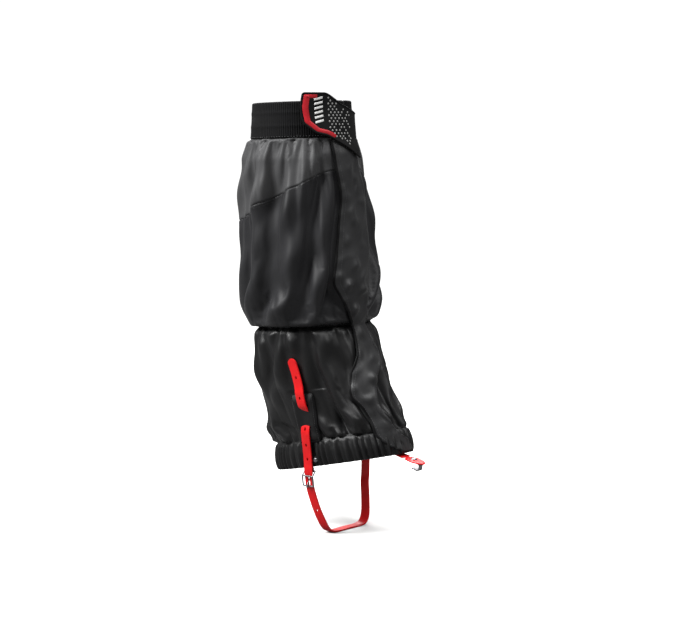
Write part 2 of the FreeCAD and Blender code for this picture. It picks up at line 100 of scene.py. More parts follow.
soft_light("key_light", -35, 42, 1.8, 0.55, 50)
soft_light("fill_light", 100, 50, 2.0, 0.6, 14)
soft_light("rim_light", 215, 35, 2.0, 0.8, 22)

sky = bpy.data.objects.new("sky_light", bpy.data.lights.new("sky_light", "SUN"))
sky.data.energy = 3.6
sky.data.angle = math.radians(40)
bpy.context.scene.collection.objects.link(sky)


# ------------------------------------------------------------------ materials
def linear(hex_colour):
    """Linear RGBA of an sRGB hex colour."""
    parts = [int(hex_colour[i:i + 2], 16) / 255 for i in (1, 3, 5)]
    return [p / 12.92 if p <= 0.04045 else ((p + 0.055) / 1.055) ** 2.4 for p in parts] + [1]


def add_node(tree, kind, values=None, links=None, **settings):
    """Node of one kind: attributes from settings, sockets from values and links."""
    node = tree.nodes.new(kind)
    for name, value in settings.items():
        setattr(node, name, value)
    for socket, value in (values or {}).items():
        node.inputs[socket].default_value = value
    for socket, source in (links or {}).items():
        tree.links.new(source, node.inputs[socket])
    return node


def start_material(name, **sockets):
    """Material with a Principled shader whose constants are set on its own sockets."""
    material = bpy.data.materials.new(name)
    material.use_nodes = True
    tree = material.node_tree
    shader = tree.nodes["Principled BSDF"]
    for socket, value in sockets.items():
        shader.inputs[socket.replace("_", " ")].default_value = value
    return material, tree, shader


def shade_variation(tree, shader, source, dark, light, scale, detail=4.0):
    """Base colour wandering between two shades over a noise of some size."""
    noise = add_node(tree, "ShaderNodeTexNoise", {"Scale": scale, "Detail": detail}, {"Vector": source})
    ramp = add_node(tree, "ShaderNodeValToRGB", links={"Fac": noise.outputs["Fac"]})
    ramp.color_ramp.elements[0].position = 0.3
    ramp.color_ramp.elements[0].color = linear(dark)
    ramp.color_ramp.elements[1].position = 0.7
    ramp.color_ramp.elements[1].color = linear(light)
    tree.links.new(ramp.outputs["Color"], shader.inputs["Base Color"])
    return noise


def woven_cloth(name, dark, light, thread, roughness, sheen, height, specular=0.35):
    """Plain-weave cloth: warp and weft threads cross as a product of two sine waves.

    The threads follow the cloth's own UV map, in metres.  A real thread of 0.3 to 0.5 mm
    would not show, so the weave is drawn two to three times coarser.
    """
    material, tree, shader = start_material(
        name, Roughness=roughness, Sheen_Weight=sheen, Sheen_Roughness=0.45, Specular_IOR_Level=specular)
    uv = add_node(tree, "ShaderNodeUVMap", uv_map="cloth").outputs["UV"]
    shade_variation(tree, shader, uv, dark, light, 28)
    split = add_node(tree, "ShaderNodeSeparateXYZ", links={"Vector": uv})
    waves = []
    for axis in "XY":
        turn = add_node(
            tree, "ShaderNodeMath", {1: TAU / (2 * thread)}, {0: split.outputs[axis]}, operation="MULTIPLY")
        waves.append(add_node(tree, "ShaderNodeMath", links={0: turn.outputs[0]}, operation="SINE").outputs[0])
    weave = add_node(tree, "ShaderNodeMath", links={0: waves[0], 1: waves[1]}, operation="MULTIPLY")
    crumple = add_node(tree, "ShaderNodeTexNoise", {"Scale": 160, "Detail": 3.0}, {"Vector": uv})
    total = add_node(tree, "ShaderNodeMath", {1: 1.6}, {0: crumple.outputs["Fac"], 2: weave.outputs[0]},
                     operation="MULTIPLY_ADD")
    bump = add_node(tree, "ShaderNodeBump", {"Strength": 0.55, "Distance": height},
                    {"Height": total.outputs[0]})
    tree.links.new(bump.outputs["Normal"], shader.inputs["Normal"])
    return material


def speckled(name, dark, light, roughness, grain, height, **sockets):
    """Moulded or coated surface: fine noise grain read from Object coordinates."""
    material, tree, shader = start_material(name, Roughness=roughness, **sockets)
    place = add_node(tree, "ShaderNodeTexCoord").outputs["Object"]
    shade_variation(tree, shader, place, dark, light, 1 / (grain * 12))
    fine = add_node(tree, "ShaderNodeTexNoise", {"Scale": 1 / grain, "Detail": 2.0}, {"Vector": place})
    bump = add_node(tree, "ShaderNodeBump", {"Strength": 0.5, "Distance": height},
                    {"Height": fine.outputs["Fac"]})
    tree.links.new(bump.outputs["Normal"], shader.inputs["Normal"])
    return material


# Grey nylon taffeta: matte with a broad soft sheen along the pleats.
grey_nylon = woven_cloth("grey_nylon_taffeta", "#353536", "#404041", 1.2 * MM, 0.56, 0.05, 0.06 * MM, 0.32)
# Black coated nylon: darker, so its folds catch a soft grey light.
black_nylon = woven_cloth("black_coated_nylon", "#19191b", "#242426", 1.2 * MM, 0.53, 0.04, 0.07 * MM, 0.28)
# Black nylon below the ankle and round the hem: painted shade, a nearly black copy of the panels' nylon that
# stands for the shade on the less-lit lower part, with a satin gloss.
boot_nylon_painted_shade = woven_cloth("black_nylon_painted_shade", "#09090a", "#101011", 1.2 * MM, 0.48, 0.02, 0.07 * MM, 0.36)
# Charcoal polyester twill of the flap: a little lighter and rougher than the panels.
flap_cloth = woven_cloth("charcoal_polyester_flap", "#232324", "#303031", 1.0 * MM, 0.46, 0.03, 0.06 * MM, 0.3)
# Knitted elastic rib: deep matte black, no gloss.
rib_knit = woven_cloth("black_elastic_rib_knit", "#080809", "#0e0e0f", 1.1 * MM, 0.8, 0.04, 0.10 * MM, 0.12)
# Grosgrain binding tape: black, cross-ribbed, matte; along the flap's free edge its black also paints the
# shadow gap under the edge.
binding_tape = woven_cloth("black_grosgrain_tape", "#040405", "#0a0a0b", 0.9 * MM, 0.62, 0.03, 0.08 * MM, 0.15)
# Polyurethane-coated face of the tab: charcoal, smooth, faint grain.
tab_coating = speckled("charcoal_coated_tab", "#0e0e0f", "#141415", 0.5, 0.5 * MM, 0.03 * MM,
                       Specular_IOR_Level=0.2)
# Red woven tape on the tab: saturated, satin.
red_tape = speckled("red_satin_tape", "#b30c1c", "#cf1f2c", 0.42, 0.6 * MM, 0.04 * MM)
# Moulded polyurethane strap: bright red, satin, faint moulding grain.
red_strap_finish = speckled("red_moulded_polyurethane", "#dd1116", "#ea1b1f", 0.42, 0.7 * MM, 0.03 * MM,
                            Specular_IOR_Level=0.3)
# Pale screen-printed ink of the dots.
pale_ink = speckled("pale_screen_print_ink", "#9f9f9d", "#b4b4b1", 0.5, 0.4 * MM, 0.02 * MM)
# White screen-printed ink of the bars.
white_ink = speckled("white_screen_print_ink", "#ececea", "#f6f6f4", 0.5, 0.4 * MM, 0.02 * MM)
# Rubberised patch: charcoal, matte, fine pebble grain.
rubber_patch = speckled("charcoal_rubber_patch", "#121213", "#1a1a1b", 0.62, 0.9 * MM, 0.08 * MM,
                        Specular_IOR_Level=0.25)
# Nickel-plated steel wire and rivets: bright, lightly polished.
nickel = speckled("nickel_plated_steel", "#77777a", "#8f8f92", 0.28, 0.4 * MM, 0.01 * MM, Metallic=1.0)
# Hook tape: black, with stiff tiny hooks that read as a coarse rough grain.
hook_tape = speckled("black_hook_tape", "#0e0e0f", "#1c1c1d", 0.7, 1.3 * MM, 0.5 * MM)
# Loop tape: soft black pile.
loop_tape = speckled("black_loop_pile", "#131313", "#202020", 0.95, 0.8 * MM, 0.35 * MM)
# Polyester sewing thread: dark grey and black, twisted.
grey_thread = speckled("grey_polyester_thread", "#3a3a3b", "#4c4c4d", 0.6, 0.3 * MM, 0.02 * MM)
black_thread = speckled("black_polyester_thread", "#101011", "#1c1c1d", 0.6, 0.3 * MM, 0.02 * MM)
# Woven elastic: black, ribbed across.
elastic_webbing = woven_cloth("black_woven_elastic", "#101011", "#1a1a1b", 1.4 * MM, 0.7, 0.2, 0.10 * MM, 0.25)
# Pale studio floor: matte painted card.
floor_card = speckled("pale_matte_card", "#f2f2f1", "#f5f5f4", 0.9, 9 * MM, 0.02 * MM)


# ------------------------------------------------------------------ mesh tools
def link_mesh(name, points, faces, material, uv=None):
    """Mesh object from points and faces, shaded smooth, with a UV value per point."""
    mesh = bpy.data.meshes.new(name)
    mesh.from_pydata(np.asarray(points).reshape(-1, 3).tolist(), [], [list(face) for face in faces])
    if uv is not None:
        layer = mesh.uv_layers.new(name="cloth")
        corners = np.zeros(len(mesh.loops), int)
        mesh.loops.foreach_get("vertex_index", corners)
        layer.data.foreach_set("uv", np.asarray(uv).reshape(-1, 2)[corners].ravel().astype(np.float32))
    mesh.materials.append(material)
    mesh.polygons.foreach_set("use_smooth", [True] * len(mesh.polygons))
    mesh.update()
    obj = bpy.data.objects.new(name, mesh)
    bpy.context.scene.collection.objects.link(obj)
    return obj


def grid_faces(rows, columns, wrap=False):
    """Quads of a grid of rows by columns points; wrap joins the last column to the first."""
    reach = columns if wrap else columns - 1
    i, j = np.meshgrid(np.arange(rows - 1), np.arange(reach), indexing="ij")
    after = (j + 1) % columns
    here, below = i * columns, (i + 1) * columns
    quads = np.stack([here + j, below + j, below + after, here + after], -1)
    return quads.reshape(-1, 4)


def cloth_uv(points):
    """UV in metres: the mean arc length along the rows and down the columns of a grid."""
    along = np.linalg.norm(np.diff(points, axis=1), axis=2).mean(0)
    down = np.linalg.norm(np.diff(points, axis=0), axis=2).mean(1)
    u = np.concatenate([[0], np.cumsum(along)])
    v = np.concatenate([[0], np.cumsum(down)])
    return np.stack(np.broadcast_arrays(u[None, :], -v[:, None]), -1)


def cloth_piece(name, points, material, thickness, wrap=False, outward=None):
    """Sheet over a grid of points, thickened inwards; faces turn to where outward points."""
    rows, columns = points.shape[:2]
    faces = grid_faces(rows, columns, wrap)
    middle = points[rows // 2, columns // 2]
    across = points[rows // 2, columns // 2 + 1] - middle
    down = points[rows // 2 + 1, columns // 2] - middle
    if outward is not None and faces_inward(down, across, outward):
        faces = faces[:, ::-1]
    obj = link_mesh(name, points, faces, material, cloth_uv(points))
    thicken(obj, thickness)
    return obj


def smooth_curve(x, knots, values):
    """Monotone cubic through knots: Hermite arcs whose slopes are harmonic means of the runs."""
    knots = np.asarray(knots, float)
    values = np.asarray(values, float)
    steps = np.diff(knots)
    slopes = np.diff(values) / steps
    left, right = slopes[:-1], slopes[1:]
    same = left * right > 0
    inner = np.where(same, 2 * left * right / np.where(same, left + right, 1), 0)
    tangents = np.concatenate([[slopes[0]], inner, [slopes[-1]]])
    x = np.clip(x, knots[0], knots[-1])
    i = np.clip(np.searchsorted(knots, x) - 1, 0, len(steps) - 1)
    f = (x - knots[i]) / steps[i]
    run = steps[i]
    return (values[i] * (2 * f ** 3 - 3 * f ** 2 + 1) + tangents[i] * run * (f ** 3 - 2 * f ** 2 + f)
            + values[i + 1] * (3 * f ** 2 - 2 * f ** 3) + tangents[i + 1] * run * (f ** 3 - f ** 2))


def bell(x):
    """Bell curve of unit height and unit width."""
    return np.exp(-np.square(x))


def ramp_up(x):
    """Smooth step from 0 at x = 0 to 1 at x = 1."""
    t = np.clip(x, 0, 1)
    return t * t * (3 - 2 * t)


def outward_faces(points, faces):
    """The faces of a closed shape, turned over if the volume they enclose comes out negative."""
    flat = np.asarray(points).reshape(-1, 3)
    corners = flat[faces]
    volume = np.einsum("ij,ij->i", corners[:, 0], np.cross(corners[:, 1], corners[:, 2])).sum()
    volume += np.einsum("ij,ij->i", corners[:, 0], np.cross(corners[:, 2], corners[:, 3])).sum()
    return faces[:, ::-1] if volume < 0 else faces


def even_path(points, step):
    """Places every step along a Catmull-Rom curve through the points, from first to last."""
    points = np.asarray(points, float)
    ends = (2 * points[:1] - points[1:2], 2 * points[-1:] - points[-2:-1])
    chain = np.concatenate([ends[0], points, ends[1]])
    f = np.linspace(0, 1, 24, endpoint=False)[:, None, None]
    a, b, c, d = chain[:-3], chain[1:-2], chain[2:-1], chain[3:]
    dense = 0.5 * (2 * b + (c - a) * f + (2 * a - 5 * b + 4 * c - d) * f ** 2
                   + (3 * b - a - 3 * c + d) * f ** 3)
    dense = np.concatenate([dense.transpose(1, 0, 2).reshape(-1, points.shape[1]), points[-1:]])
    length = running_length(dense)
    places = np.linspace(0, length[-1], max(2, int(round(length[-1] / step)) + 1))
    return np.stack([np.interp(places, length, dense[:, k]) for k in range(points.shape[1])], -1)


def unit(vectors):
    """Vectors scaled to a length of one."""
    return vectors / np.maximum(np.linalg.norm(vectors, axis=-1, keepdims=True), 1e-12)


def running_length(path):
    """Length of a path from its first point to each of its points."""
    return np.concatenate([[0], np.cumsum(np.linalg.norm(np.diff(path, axis=0), axis=1))])


def faces_inward(down, across, outward):
    """Whether a face with these two edges turns its back to an outward direction."""
    return np.dot(np.cross(down, across), outward) < 0


def thicken(obj, thickness, offset=-1):
    """Give a sheet its thickness: offset -1 adds it inwards and 0 adds half on each side."""
    wall = obj.modifiers.new("thickness", "SOLIDIFY")
    wall.thickness = thickness
    wall.offset = offset


def run_direction(path):
    """Unit tangent at each point of a path, from central differences."""
    return unit(np.gradient(path, axis=0))


def carried_bar(name, path, out, half_width, half_height, material, sharp=0.6, count=14, end_round=None):
    """Closed bar: an oval section carried along a path, with its caps closed.

    The section is half_width cos and half_height sin of the turn, each raised to the power
    sharp with its sign kept, across the path and along out.  end_round narrows both ends as
    a quarter ellipse of that length.
    """
    side = unit(np.cross(run_direction(path), out))
    turn = np.linspace(0, TAU, count + 1)[:-1]
    across = np.sign(np.cos(turn)) * np.abs(np.cos(turn)) ** sharp
    up = np.sign(np.sin(turn)) * np.abs(np.sin(turn)) ** sharp
    length = running_length(path)
    narrow = np.ones(len(path))
    if end_round:
        near = np.clip(np.minimum(length, length[-1] - length) / end_round, 0, 1)
        narrow = np.sqrt(np.clip(1 - (1 - near) ** 2, 0.02, 1))
    half_width = np.broadcast_to(half_width, len(path)) * narrow
    half_height = np.broadcast_to(half_height, len(path)) * np.sqrt(narrow)
    points = (path[:, None] + side[:, None] * (half_width[:, None] * across)[..., None]
              + out[:, None] * (half_height[:, None] * up)[..., None])
    faces = outward_faces(points, grid_faces(len(path), count, wrap=True))
    ring = np.arange(count).reshape(1, -1)
    last = ring + (len(path) - 1) * count
    flipped = faces[0][0] != 0
    caps = [ring[0].tolist() if flipped else ring[0, ::-1].tolist(),
            last[0, ::-1].tolist() if flipped else last[0].tolist()]
    uv = np.stack(np.broadcast_arrays(length[:, None], turn[None, :] * 1.5 * MM), -1)
    return link_mesh(name, points, faces.tolist() + caps, material, uv)


def scattered_beads(name, centres, along, out, long, wide, tall, material):
    """Many small domed beads in one mesh, each a coarse half-flattened ellipsoid of its own turn.

    A bead's grid is latitude by longitude: long cos cos along the run, wide cos sin across it
    and tall sin outwards.
    """
    latitude = np.linspace(-1.35, 1.35, 5)[:, None]
    longitude = np.linspace(0, TAU, 9)[:-1][None, :]
    run = (long * np.cos(latitude) * np.cos(longitude)).ravel()
    cross = (wide * np.cos(latitude) * np.sin(longitude)).ravel()
    rise = (tall * np.sin(latitude) + 0 * longitude).ravel()
    side = unit(np.cross(out, along))
    points = (centres[:, None] + along[:, None] * run[None, :, None] + side[:, None] * cross[None, :, None]
              + out[:, None] * rise[None, :, None])
    one = outward_faces(points[0], grid_faces(5, 8, wrap=True))
    low, high = list(range(8)), list(range(32, 40))
    caps = [low[::-1], high]
    rim = points[0][high]
    if faces_inward(rim[1] - rim[0], rim[2] - rim[1], out[0]):
        caps = [low, high[::-1]]
    faces = [[k + 40 * index for k in face] for index in range(len(points)) for face in one.tolist() + caps]
    return link_mesh(name, points, faces, material)


def stitches(name, path, out, pitch, material, long=1.1, wide=0.32, tall=0.3):
    """Row of thread stitches along a path on a surface, one bead to a stitch."""
    length = running_length(path)
    places = np.arange(pitch / 2, length[-1], pitch)
    centres = np.stack([np.interp(places, length, path[:, k]) for k in range(3)], -1)
    along = unit(np.stack([np.interp(places, length, run_direction(path)[:, k]) for k in range(3)], -1))
    facing = unit(np.stack([np.interp(places, length, out[:, k]) for k in range(3)], -1))
    return scattered_beads(name, centres, along, facing, long * MM, wide * MM, tall * MM, material)


def open_holes(u, v, holes):
    """Grid lines drawn round oval holes, and which of the grid's cells lie in them.

    Round each hole (u, v, half length along u, half along v) a square block of the grid is
    pulled onto the oval; the pull fades linearly to nothing one block further out.
    """
    moved_u, moved_v = u.copy(), v.copy()
    inside = np.zeros((u.shape[0] - 1, u.shape[1] - 1), bool)
    step_u = abs(u[1, 0] - u[0, 0])
    step_v = abs(v[0, 1] - v[0, 0])
    for hole_u, hole_v, long, wide in holes:
        row = int(round((hole_u - u[0, 0]) / step_u))
        column = int(round((hole_v - v[0, 0]) / step_v))
        half_rows = max(2, int(round(long * 0.8 / step_u)))
        half_columns = max(2, int(round(wide * 0.8 / step_v)))
        a = (np.arange(u.shape[0])[:, None] - row) / half_rows
        b = (np.arange(u.shape[1])[None, :] - column) / half_columns
        square = np.maximum(np.abs(a), np.abs(b)) + 0 * u
        radius = np.hypot(a, b) + 1e-9
        weight = np.where(square <= 1, 1, np.clip(2 - square, 0, 1))
        oval_u = hole_u + long * a / radius * square
        oval_v = hole_v + wide * b / radius * square
        moved_u += (oval_u - u) * weight
        moved_v += (oval_v - v) * weight
        middle_row = np.arange(u.shape[0] - 1)[:, None] + 0.5 - row
        middle_column = np.arange(u.shape[1] - 1)[None, :] + 0.5 - column
        inside |= (np.abs(middle_row) < half_rows) & (np.abs(middle_column) < half_columns)
    return moved_u, moved_v, inside


# ------------------------------------------------------------------ form of the sleeve
# Level sections of the sleeve, bottom to top, in millimetres:
# height, centre x, half length along X, half width along Y, tilt in degrees (front up).
SECTIONS = np.array([
    (82, -2, 97, 50, 12),
    (112, -8, 93, 52, 11),
    (150, -22, 90, 58, 9),
    (190, -38, 84, 66, 6),
    (226, -48, 78.5, 71, 4),
    (243, -50, 75, 71, 4),
    (262, -54, 80, 77, 3),
    (295, -57, 83, 80, 2),
    (345, -62, 80, 77, 2),
    (400, -67, 76, 73, 2),
    (444, -69, 71, 69, 2),
    (464, -68, 63, 62, 2),
    (507, -69, 60, 59, 2),
    (524, -69, 60, 58.5, 2),
], float)
KNOTS = SECTIONS[:, 0] * MM


def section(height):
    """Centre x, half length, half width and tilt of the sleeve at a height."""
    values = [smooth_curve(height, KNOTS, SECTIONS[:, k] * MM) for k in (1, 2, 3)]
    return values + [np.radians(smooth_curve(height, KNOTS, SECTIONS[:, 4]))]


def form(theta, height, out=0.0):
    """Point of the smooth sleeve: a tilted ellipse at the height, grown by out.

    theta is 0 at the front, -90 degrees on the outside of the leg and +90 on its inside.
    """
    centre, length, width, tilt = section(height)
    forward = (length + out) * np.cos(theta)
    return np.stack([centre + forward * np.cos(tilt), (width + out) * np.sin(theta) + 0 * height,
                     height + forward * np.sin(tilt)], -1)


def front_place(y, z):
    """theta and height of the front half's point at (y, z), by repeated correction."""
    height = z + 0.0 * y
    theta = 0.0 * y
    for _ in range(6):
        centre, length, width, tilt = section(height)
        theta = np.arcsin(np.clip(y / width, -0.99, 0.99))
        height = z - length * np.cos(theta) * np.sin(tilt)
    return theta, height


# ------------------------------------------------------------------ seams and edges in the cloth
CUFF_BASE = 464 * MM
ANKLE = 243 * MM
HEM_TOP = 112 * MM
HEM_BASE = 82 * MM
PINCH = 5.0 * MM

# (y, z) down the front, in millimetres, top to bottom.
OPENING = np.array([(6, 540), (6, 460), (2, 400), (-8, 320), (-9, 260), (-6, 235), (-20, 190),
                    (-27, 160), (-20, 130), (-4, 112), (2, 95), (2, 50)], float)
FREE_EDGE = np.array([(-23, 462), (-21, 425), (-20, 399), (-27, 367), (-36, 324), (-41, 299),
                      (-35, 285), (-25, 260), (-17, 247), (-19, 232), (-23, 219), (-35, 192),
                      (-40, 168), (-36, 160), (-31, 145), (-30, 124), (-22, 112), (-10, 104)], float)
SEWN_EDGE = np.array([(18, 462), (22, 418), (24, 398), (19, 350), (13, 300), (7, 260), (9, 227),
                      (14, 213), (7, 200), (-4, 188), (-14, 176), (-18, 163), (-18, 151),
                      (-13, 138), (-6, 126), (6, 116), (9, 104)], float)


def edge_y(line, z):
    """y of a line down the front at a height z."""
    return smooth_curve(z, line[::-1, 1] * MM, line[::-1, 0] * MM)


def opening_theta(height):
    """theta of the front opening at a height of the sleeve."""
    centre, length, width, tilt = section(height)
    z = height + length * np.sin(tilt)
    return np.arcsin(np.clip(edge_y(OPENING, z) / width, -0.99, 0.99))


def yoke_seam_height(theta):
    """Height of the slanted seam below the grey yoke; it climbs towards the shin."""
    x = -67 * MM + 76 * MM * np.cos(theta)
    z = 391 * MM + 0.42 * (x + 67 * MM) + 7 * MM * ramp_up((x + 40 * MM) / (50 * MM))
    return z - 76 * MM * np.cos(theta) * math.sin(math.radians(2))


# ------------------------------------------------------------------ folds the cloth starts with
random = np.random.default_rng(7)
COLUMNS = 720
ROWS = 400
SIM_COLUMNS = 240
SIM_ROWS = 160


def cloth_grid(rows, columns):
    """theta and height over the whole sleeve, cuff base to hem base."""
    theta = np.linspace(-math.pi, math.pi, columns + 1)[:-1]
    return np.meshgrid(theta, np.linspace(CUFF_BASE, HEM_BASE, rows))


def wander(theta, waves=5):
    """Slow periodic noise along the girth, made of a few sines with seeded phases."""
    total = np.zeros_like(theta)
    for k in range(1, waves + 1):
        total += random.normal() / math.sqrt(k) * np.sin(k * theta + random.uniform(0, TAU))
    return total / 2


def pleats(theta, count, sway=0.9, uneven=0.35):
    """Round ridges and narrow valleys, count of them round the girth, unevenly spaced and deep."""
    phase = count * theta / 2 + sway * wander(theta, 9)
    depth = 1 + uneven * np.clip(wander(theta, 14), -1.5, 1.5)
    return (np.abs(np.sin(phase)) ** 0.8 - 0.62) * depth


def gathers(theta, height, seam_height, side, layers):
    """Pleats that start at a seam and fade away from it: fine ones soon, wide ones later.

    side is +1 above the seam and -1 below; each layer is (count, depth in mm, reach in mm).
    """
    away = (height - seam_height) * side
    total = np.zeros_like(height)
    for count, depth, reach in layers:
        fade = np.where(away >= 0, np.exp(-np.abs(away) / (reach * MM)), np.exp(-np.abs(away) / (2 * MM)))
        lean = random.uniform(-0.5, 0.5) * away / 0.08
        total += pleats(theta + lean, count) * depth * MM * fade
    return total


def slanted_noise(theta, height, across, along, lean):
    """Smooth noise whose folds run along a slanted direction: a sum of seeded plane waves."""
    girth = theta * 0.075
    total = np.zeros_like(girth)
    for _ in range(16):
        angle = lean + random.normal() * 0.3
        k_across = TAU / (across * MM) * random.uniform(0.6, 1.3)
        k_along = TAU / (along * MM) * random.uniform(-1, 1)
        k_girth = k_across * math.cos(angle) + k_along * math.sin(angle)
        k_height = -k_across * math.sin(angle) + k_along * math.cos(angle)
        k_girth = round(k_girth * 0.075) / 0.075
        total += np.sin(k_girth * girth + k_height * height + random.uniform(0, TAU))
    return total / 4


def sewn_folds(theta, height):
    """Outward lift of the cloth before it settles: gathers at the three seams and broad slack folds."""
    out = gathers(theta, height, CUFF_BASE, -1, [(44, 1.3, 14), (23, 2.4, 30), (12, 2.4, 60)])
    out += gathers(theta, height, ANKLE, 1, [(30, 1.0, 8), (15, 2.0, 20), (8, 3.0, 45)])
    out += gathers(theta, height, ANKLE, -1, [(40, 1.0, 7), (20, 1.8, 16), (10, 2.2, 40)])
    out += gathers(theta, height, HEM_TOP, 1, [(50, 1.7, 14), (26, 3.0, 30), (13, 3.6, 70)])
    band = ramp_up((HEM_TOP - height) / (3 * MM))
    out = out * (1 - band) + band * pleats(theta, 58, 0.7, 0.3) * 1.2 * MM
    body = ramp_up((height - ANKLE) / (30 * MM)) * ramp_up((CUFF_BASE - height) / (50 * MM))
    out += body * slanted_noise(theta, height, 46, 170, 0.55) * 2.6 * MM
    lower = ramp_up((ANKLE - height) / (20 * MM)) * ramp_up((height - HEM_TOP) / (20 * MM))
    out += lower * slanted_noise(theta, height, 36, 170, -0.15) * 2.0 * MM
    out -= PINCH * bell((height - ANKLE) / (4 * MM))
    return out - 1.3 * MM * bell((height - HEM_TOP) / (2.2 * MM))


# ------------------------------------------------------------------ how the cloth settles
SIM_FRAMES = 14
SLACK_ROUND = 1.12
SLACK_LONG = 1.05
FOLD_GAIN = 1.1


def settled(start, rest, pinned):
    """The grid after Blender's cloth solver lets it buckle towards its larger rest shape.

    start and rest are wrapped grids of the same cloth; pinned is 1 where the seams hold it.
    """
    rows, columns = start.shape[:2]
    mesh = bpy.data.meshes.new("sleeve_trial")
    mesh.from_pydata(start.reshape(-1, 3).tolist(), [], grid_faces(rows, columns, wrap=True).tolist())
    trial = bpy.data.objects.new("sleeve_trial", mesh)
    bpy.context.scene.collection.objects.link(trial)
    trial.shape_key_add(name="Basis")
    slack = trial.shape_key_add(name="slack")
    slack.data.foreach_set("co", rest.reshape(-1).astype(np.float32))
    slack.value = 0
    group = trial.vertex_groups.new(name="seams")
    group.add(np.flatnonzero(pinned.ravel()).tolist(), 1.0, "REPLACE")
    solver = trial.modifiers.new("cloth", "CLOTH")
    fabric = solver.settings
    fabric.quality = 5
    fabric.mass = 0.15
    fabric.tension_stiffness = 15
    fabric.compression_stiffness = 5
    fabric.shear_stiffness = 5
    fabric.bending_stiffness = 15
    fabric.tension_damping = fabric.compression_damping = fabric.shear_damping = 5
    fabric.bending_damping = 0.5
    fabric.vertex_group_mass = "seams"
    fabric.rest_shape_key = slack
    fabric.effector_weights.gravity = 0.3
    solver.collision_settings.use_collision = False
    solver.collision_settings.use_self_collision = False
    solver.point_cache.frame_start = 1
    solver.point_cache.frame_end = SIM_FRAMES
    scene = bpy.context.scene
    for step in range(1, SIM_FRAMES + 1):
        scene.frame_set(step)
    calm = trial.evaluated_get(bpy.context.evaluated_depsgraph_get())
    places = np.zeros(rows * columns * 3, np.float32)
    calm.data.vertices.foreach_get("co", places)
    bpy.data.objects.remove(trial)
    scene.frame_set(1)
    return places.reshape(rows, columns, 3).astype(float)


def refined(field, rows, columns):
    """Catmull-Rom reading of a wrapped grid at more rows and columns."""
    def cubic(values, at, wrap):
        index = np.floor(at).astype(int)
        f = (at - index)[:, None, None]
        size = len(values)
        taps = [(index + k) % size if wrap else np.clip(index + k, 0, size - 1) for k in (-1, 0, 1, 2)]
        a, b, c, d = (values[tap] for tap in taps)
        return 0.5 * (2 * b + (c - a) * f + (2 * a - 5 * b + 4 * c - d) * f ** 2
                      + (3 * b - a - 3 * c + d) * f ** 3)
    tall = cubic(field, np.linspace(0, field.shape[0] - 1, rows), False)
    around = np.arange(columns) * field.shape[1] / columns
    return cubic(tall.transpose(1, 0, 2), around, True).transpose(1, 0, 2)


def blurred(field, rows, columns):
    """Gaussian mean of a wrapped grid, spread by a number of rows and of columns.

    Both passes multiply the waves of the field by a bell; the rows are mirrored at the ends.
    """
    tall = np.concatenate([field, field[::-1]])
    for axis, spread in ((0, rows), (1, columns)):
        wave = np.fft.fftfreq(tall.shape[axis])
        keep = np.exp(-2 * (math.pi * wave * spread) ** 2)
        shape = [1, 1, 1]
        shape[axis] = -1
        tall = np.fft.ifft(np.fft.fft(tall, axis=axis) * keep.reshape(shape), axis=axis).real
    return tall[:len(field)]


def under_flap(theta, height):
    """1 where the front flap covers the sleeve, 0 elsewhere, with soft edges."""
    x, y, z = np.moveaxis(form(theta, height), -1, 0)
    inside = ramp_up((y - edge_y(FREE_EDGE, z) + 5 * MM) / (9 * MM))
    inside = inside * ramp_up((edge_y(SEWN_EDGE, z) - y + 3 * MM) / (9 * MM))
    return inside * (np.abs(theta) < 1.4)


# The strap's middle line: (x, y, z) in millimetres down the outside, under the foot and up.
STRAP_LINE = np.array([
    (-27, -69, 209), (-22.5, -66.6, 194), (-18.5, -65, 178), (-16.6, -65.3, 168), (-14.4, -63.6, 155),
    (-13.5, -59, 146.5), (-13.3, -56.6, 135), (-13.2, -58.9, 123.5), (-13, -57.4, 110), (-13, -55.2, 96),
    (-12.8, -54.2, 84), (-12.6, -54, 76), (-12.4, -53.2, 70), (-12.1, -51.6, 58), (-11.2, -49.2, 48),
    (-7, -45.3, 30), (-2.5, -39.6, 13), (-0.5, -33, 4), (0, -22, 1), (0, 0, 1), (0, 22, 1), (-0.5, 33, 4),
    (-2.5, 39.6, 13), (-7, 45.3, 30), (-11.2, 49.2, 48), (-12.1, 51.4, 58), (-12.7, 52.9, 84),
    (-13, 54.8, 104), (-13, 56.2, 119)], float) * MM


def strap_theta(height):
    """theta of the strap's middle line on the outside of the leg."""
    centre, length, width, tilt = section(height)
    x = smooth_curve(height, STRAP_LINE[:15][::-1, 2], STRAP_LINE[:15][::-1, 0])
    return -math.pi / 2 + np.arcsin(np.clip((x - centre) / length, -0.9, 0.9))


def under_strap(theta, height):
    """1 under the strap, its patches and its upper end, 0 elsewhere, with soft edges."""
    wide = np.where(height < 170 * MM, 0.24, 0.11)
    outer = bell((theta - strap_theta(height)) / wide) * ramp_up((218 * MM - height) / (12 * MM))
    inner = 0.9 * bell((theta - math.radians(92)) / 0.24) * ramp_up((134 * MM - height) / (12 * MM))
    return np.clip(outer + inner, 0, 1) * ramp_up((height - 92 * MM) / (12 * MM))


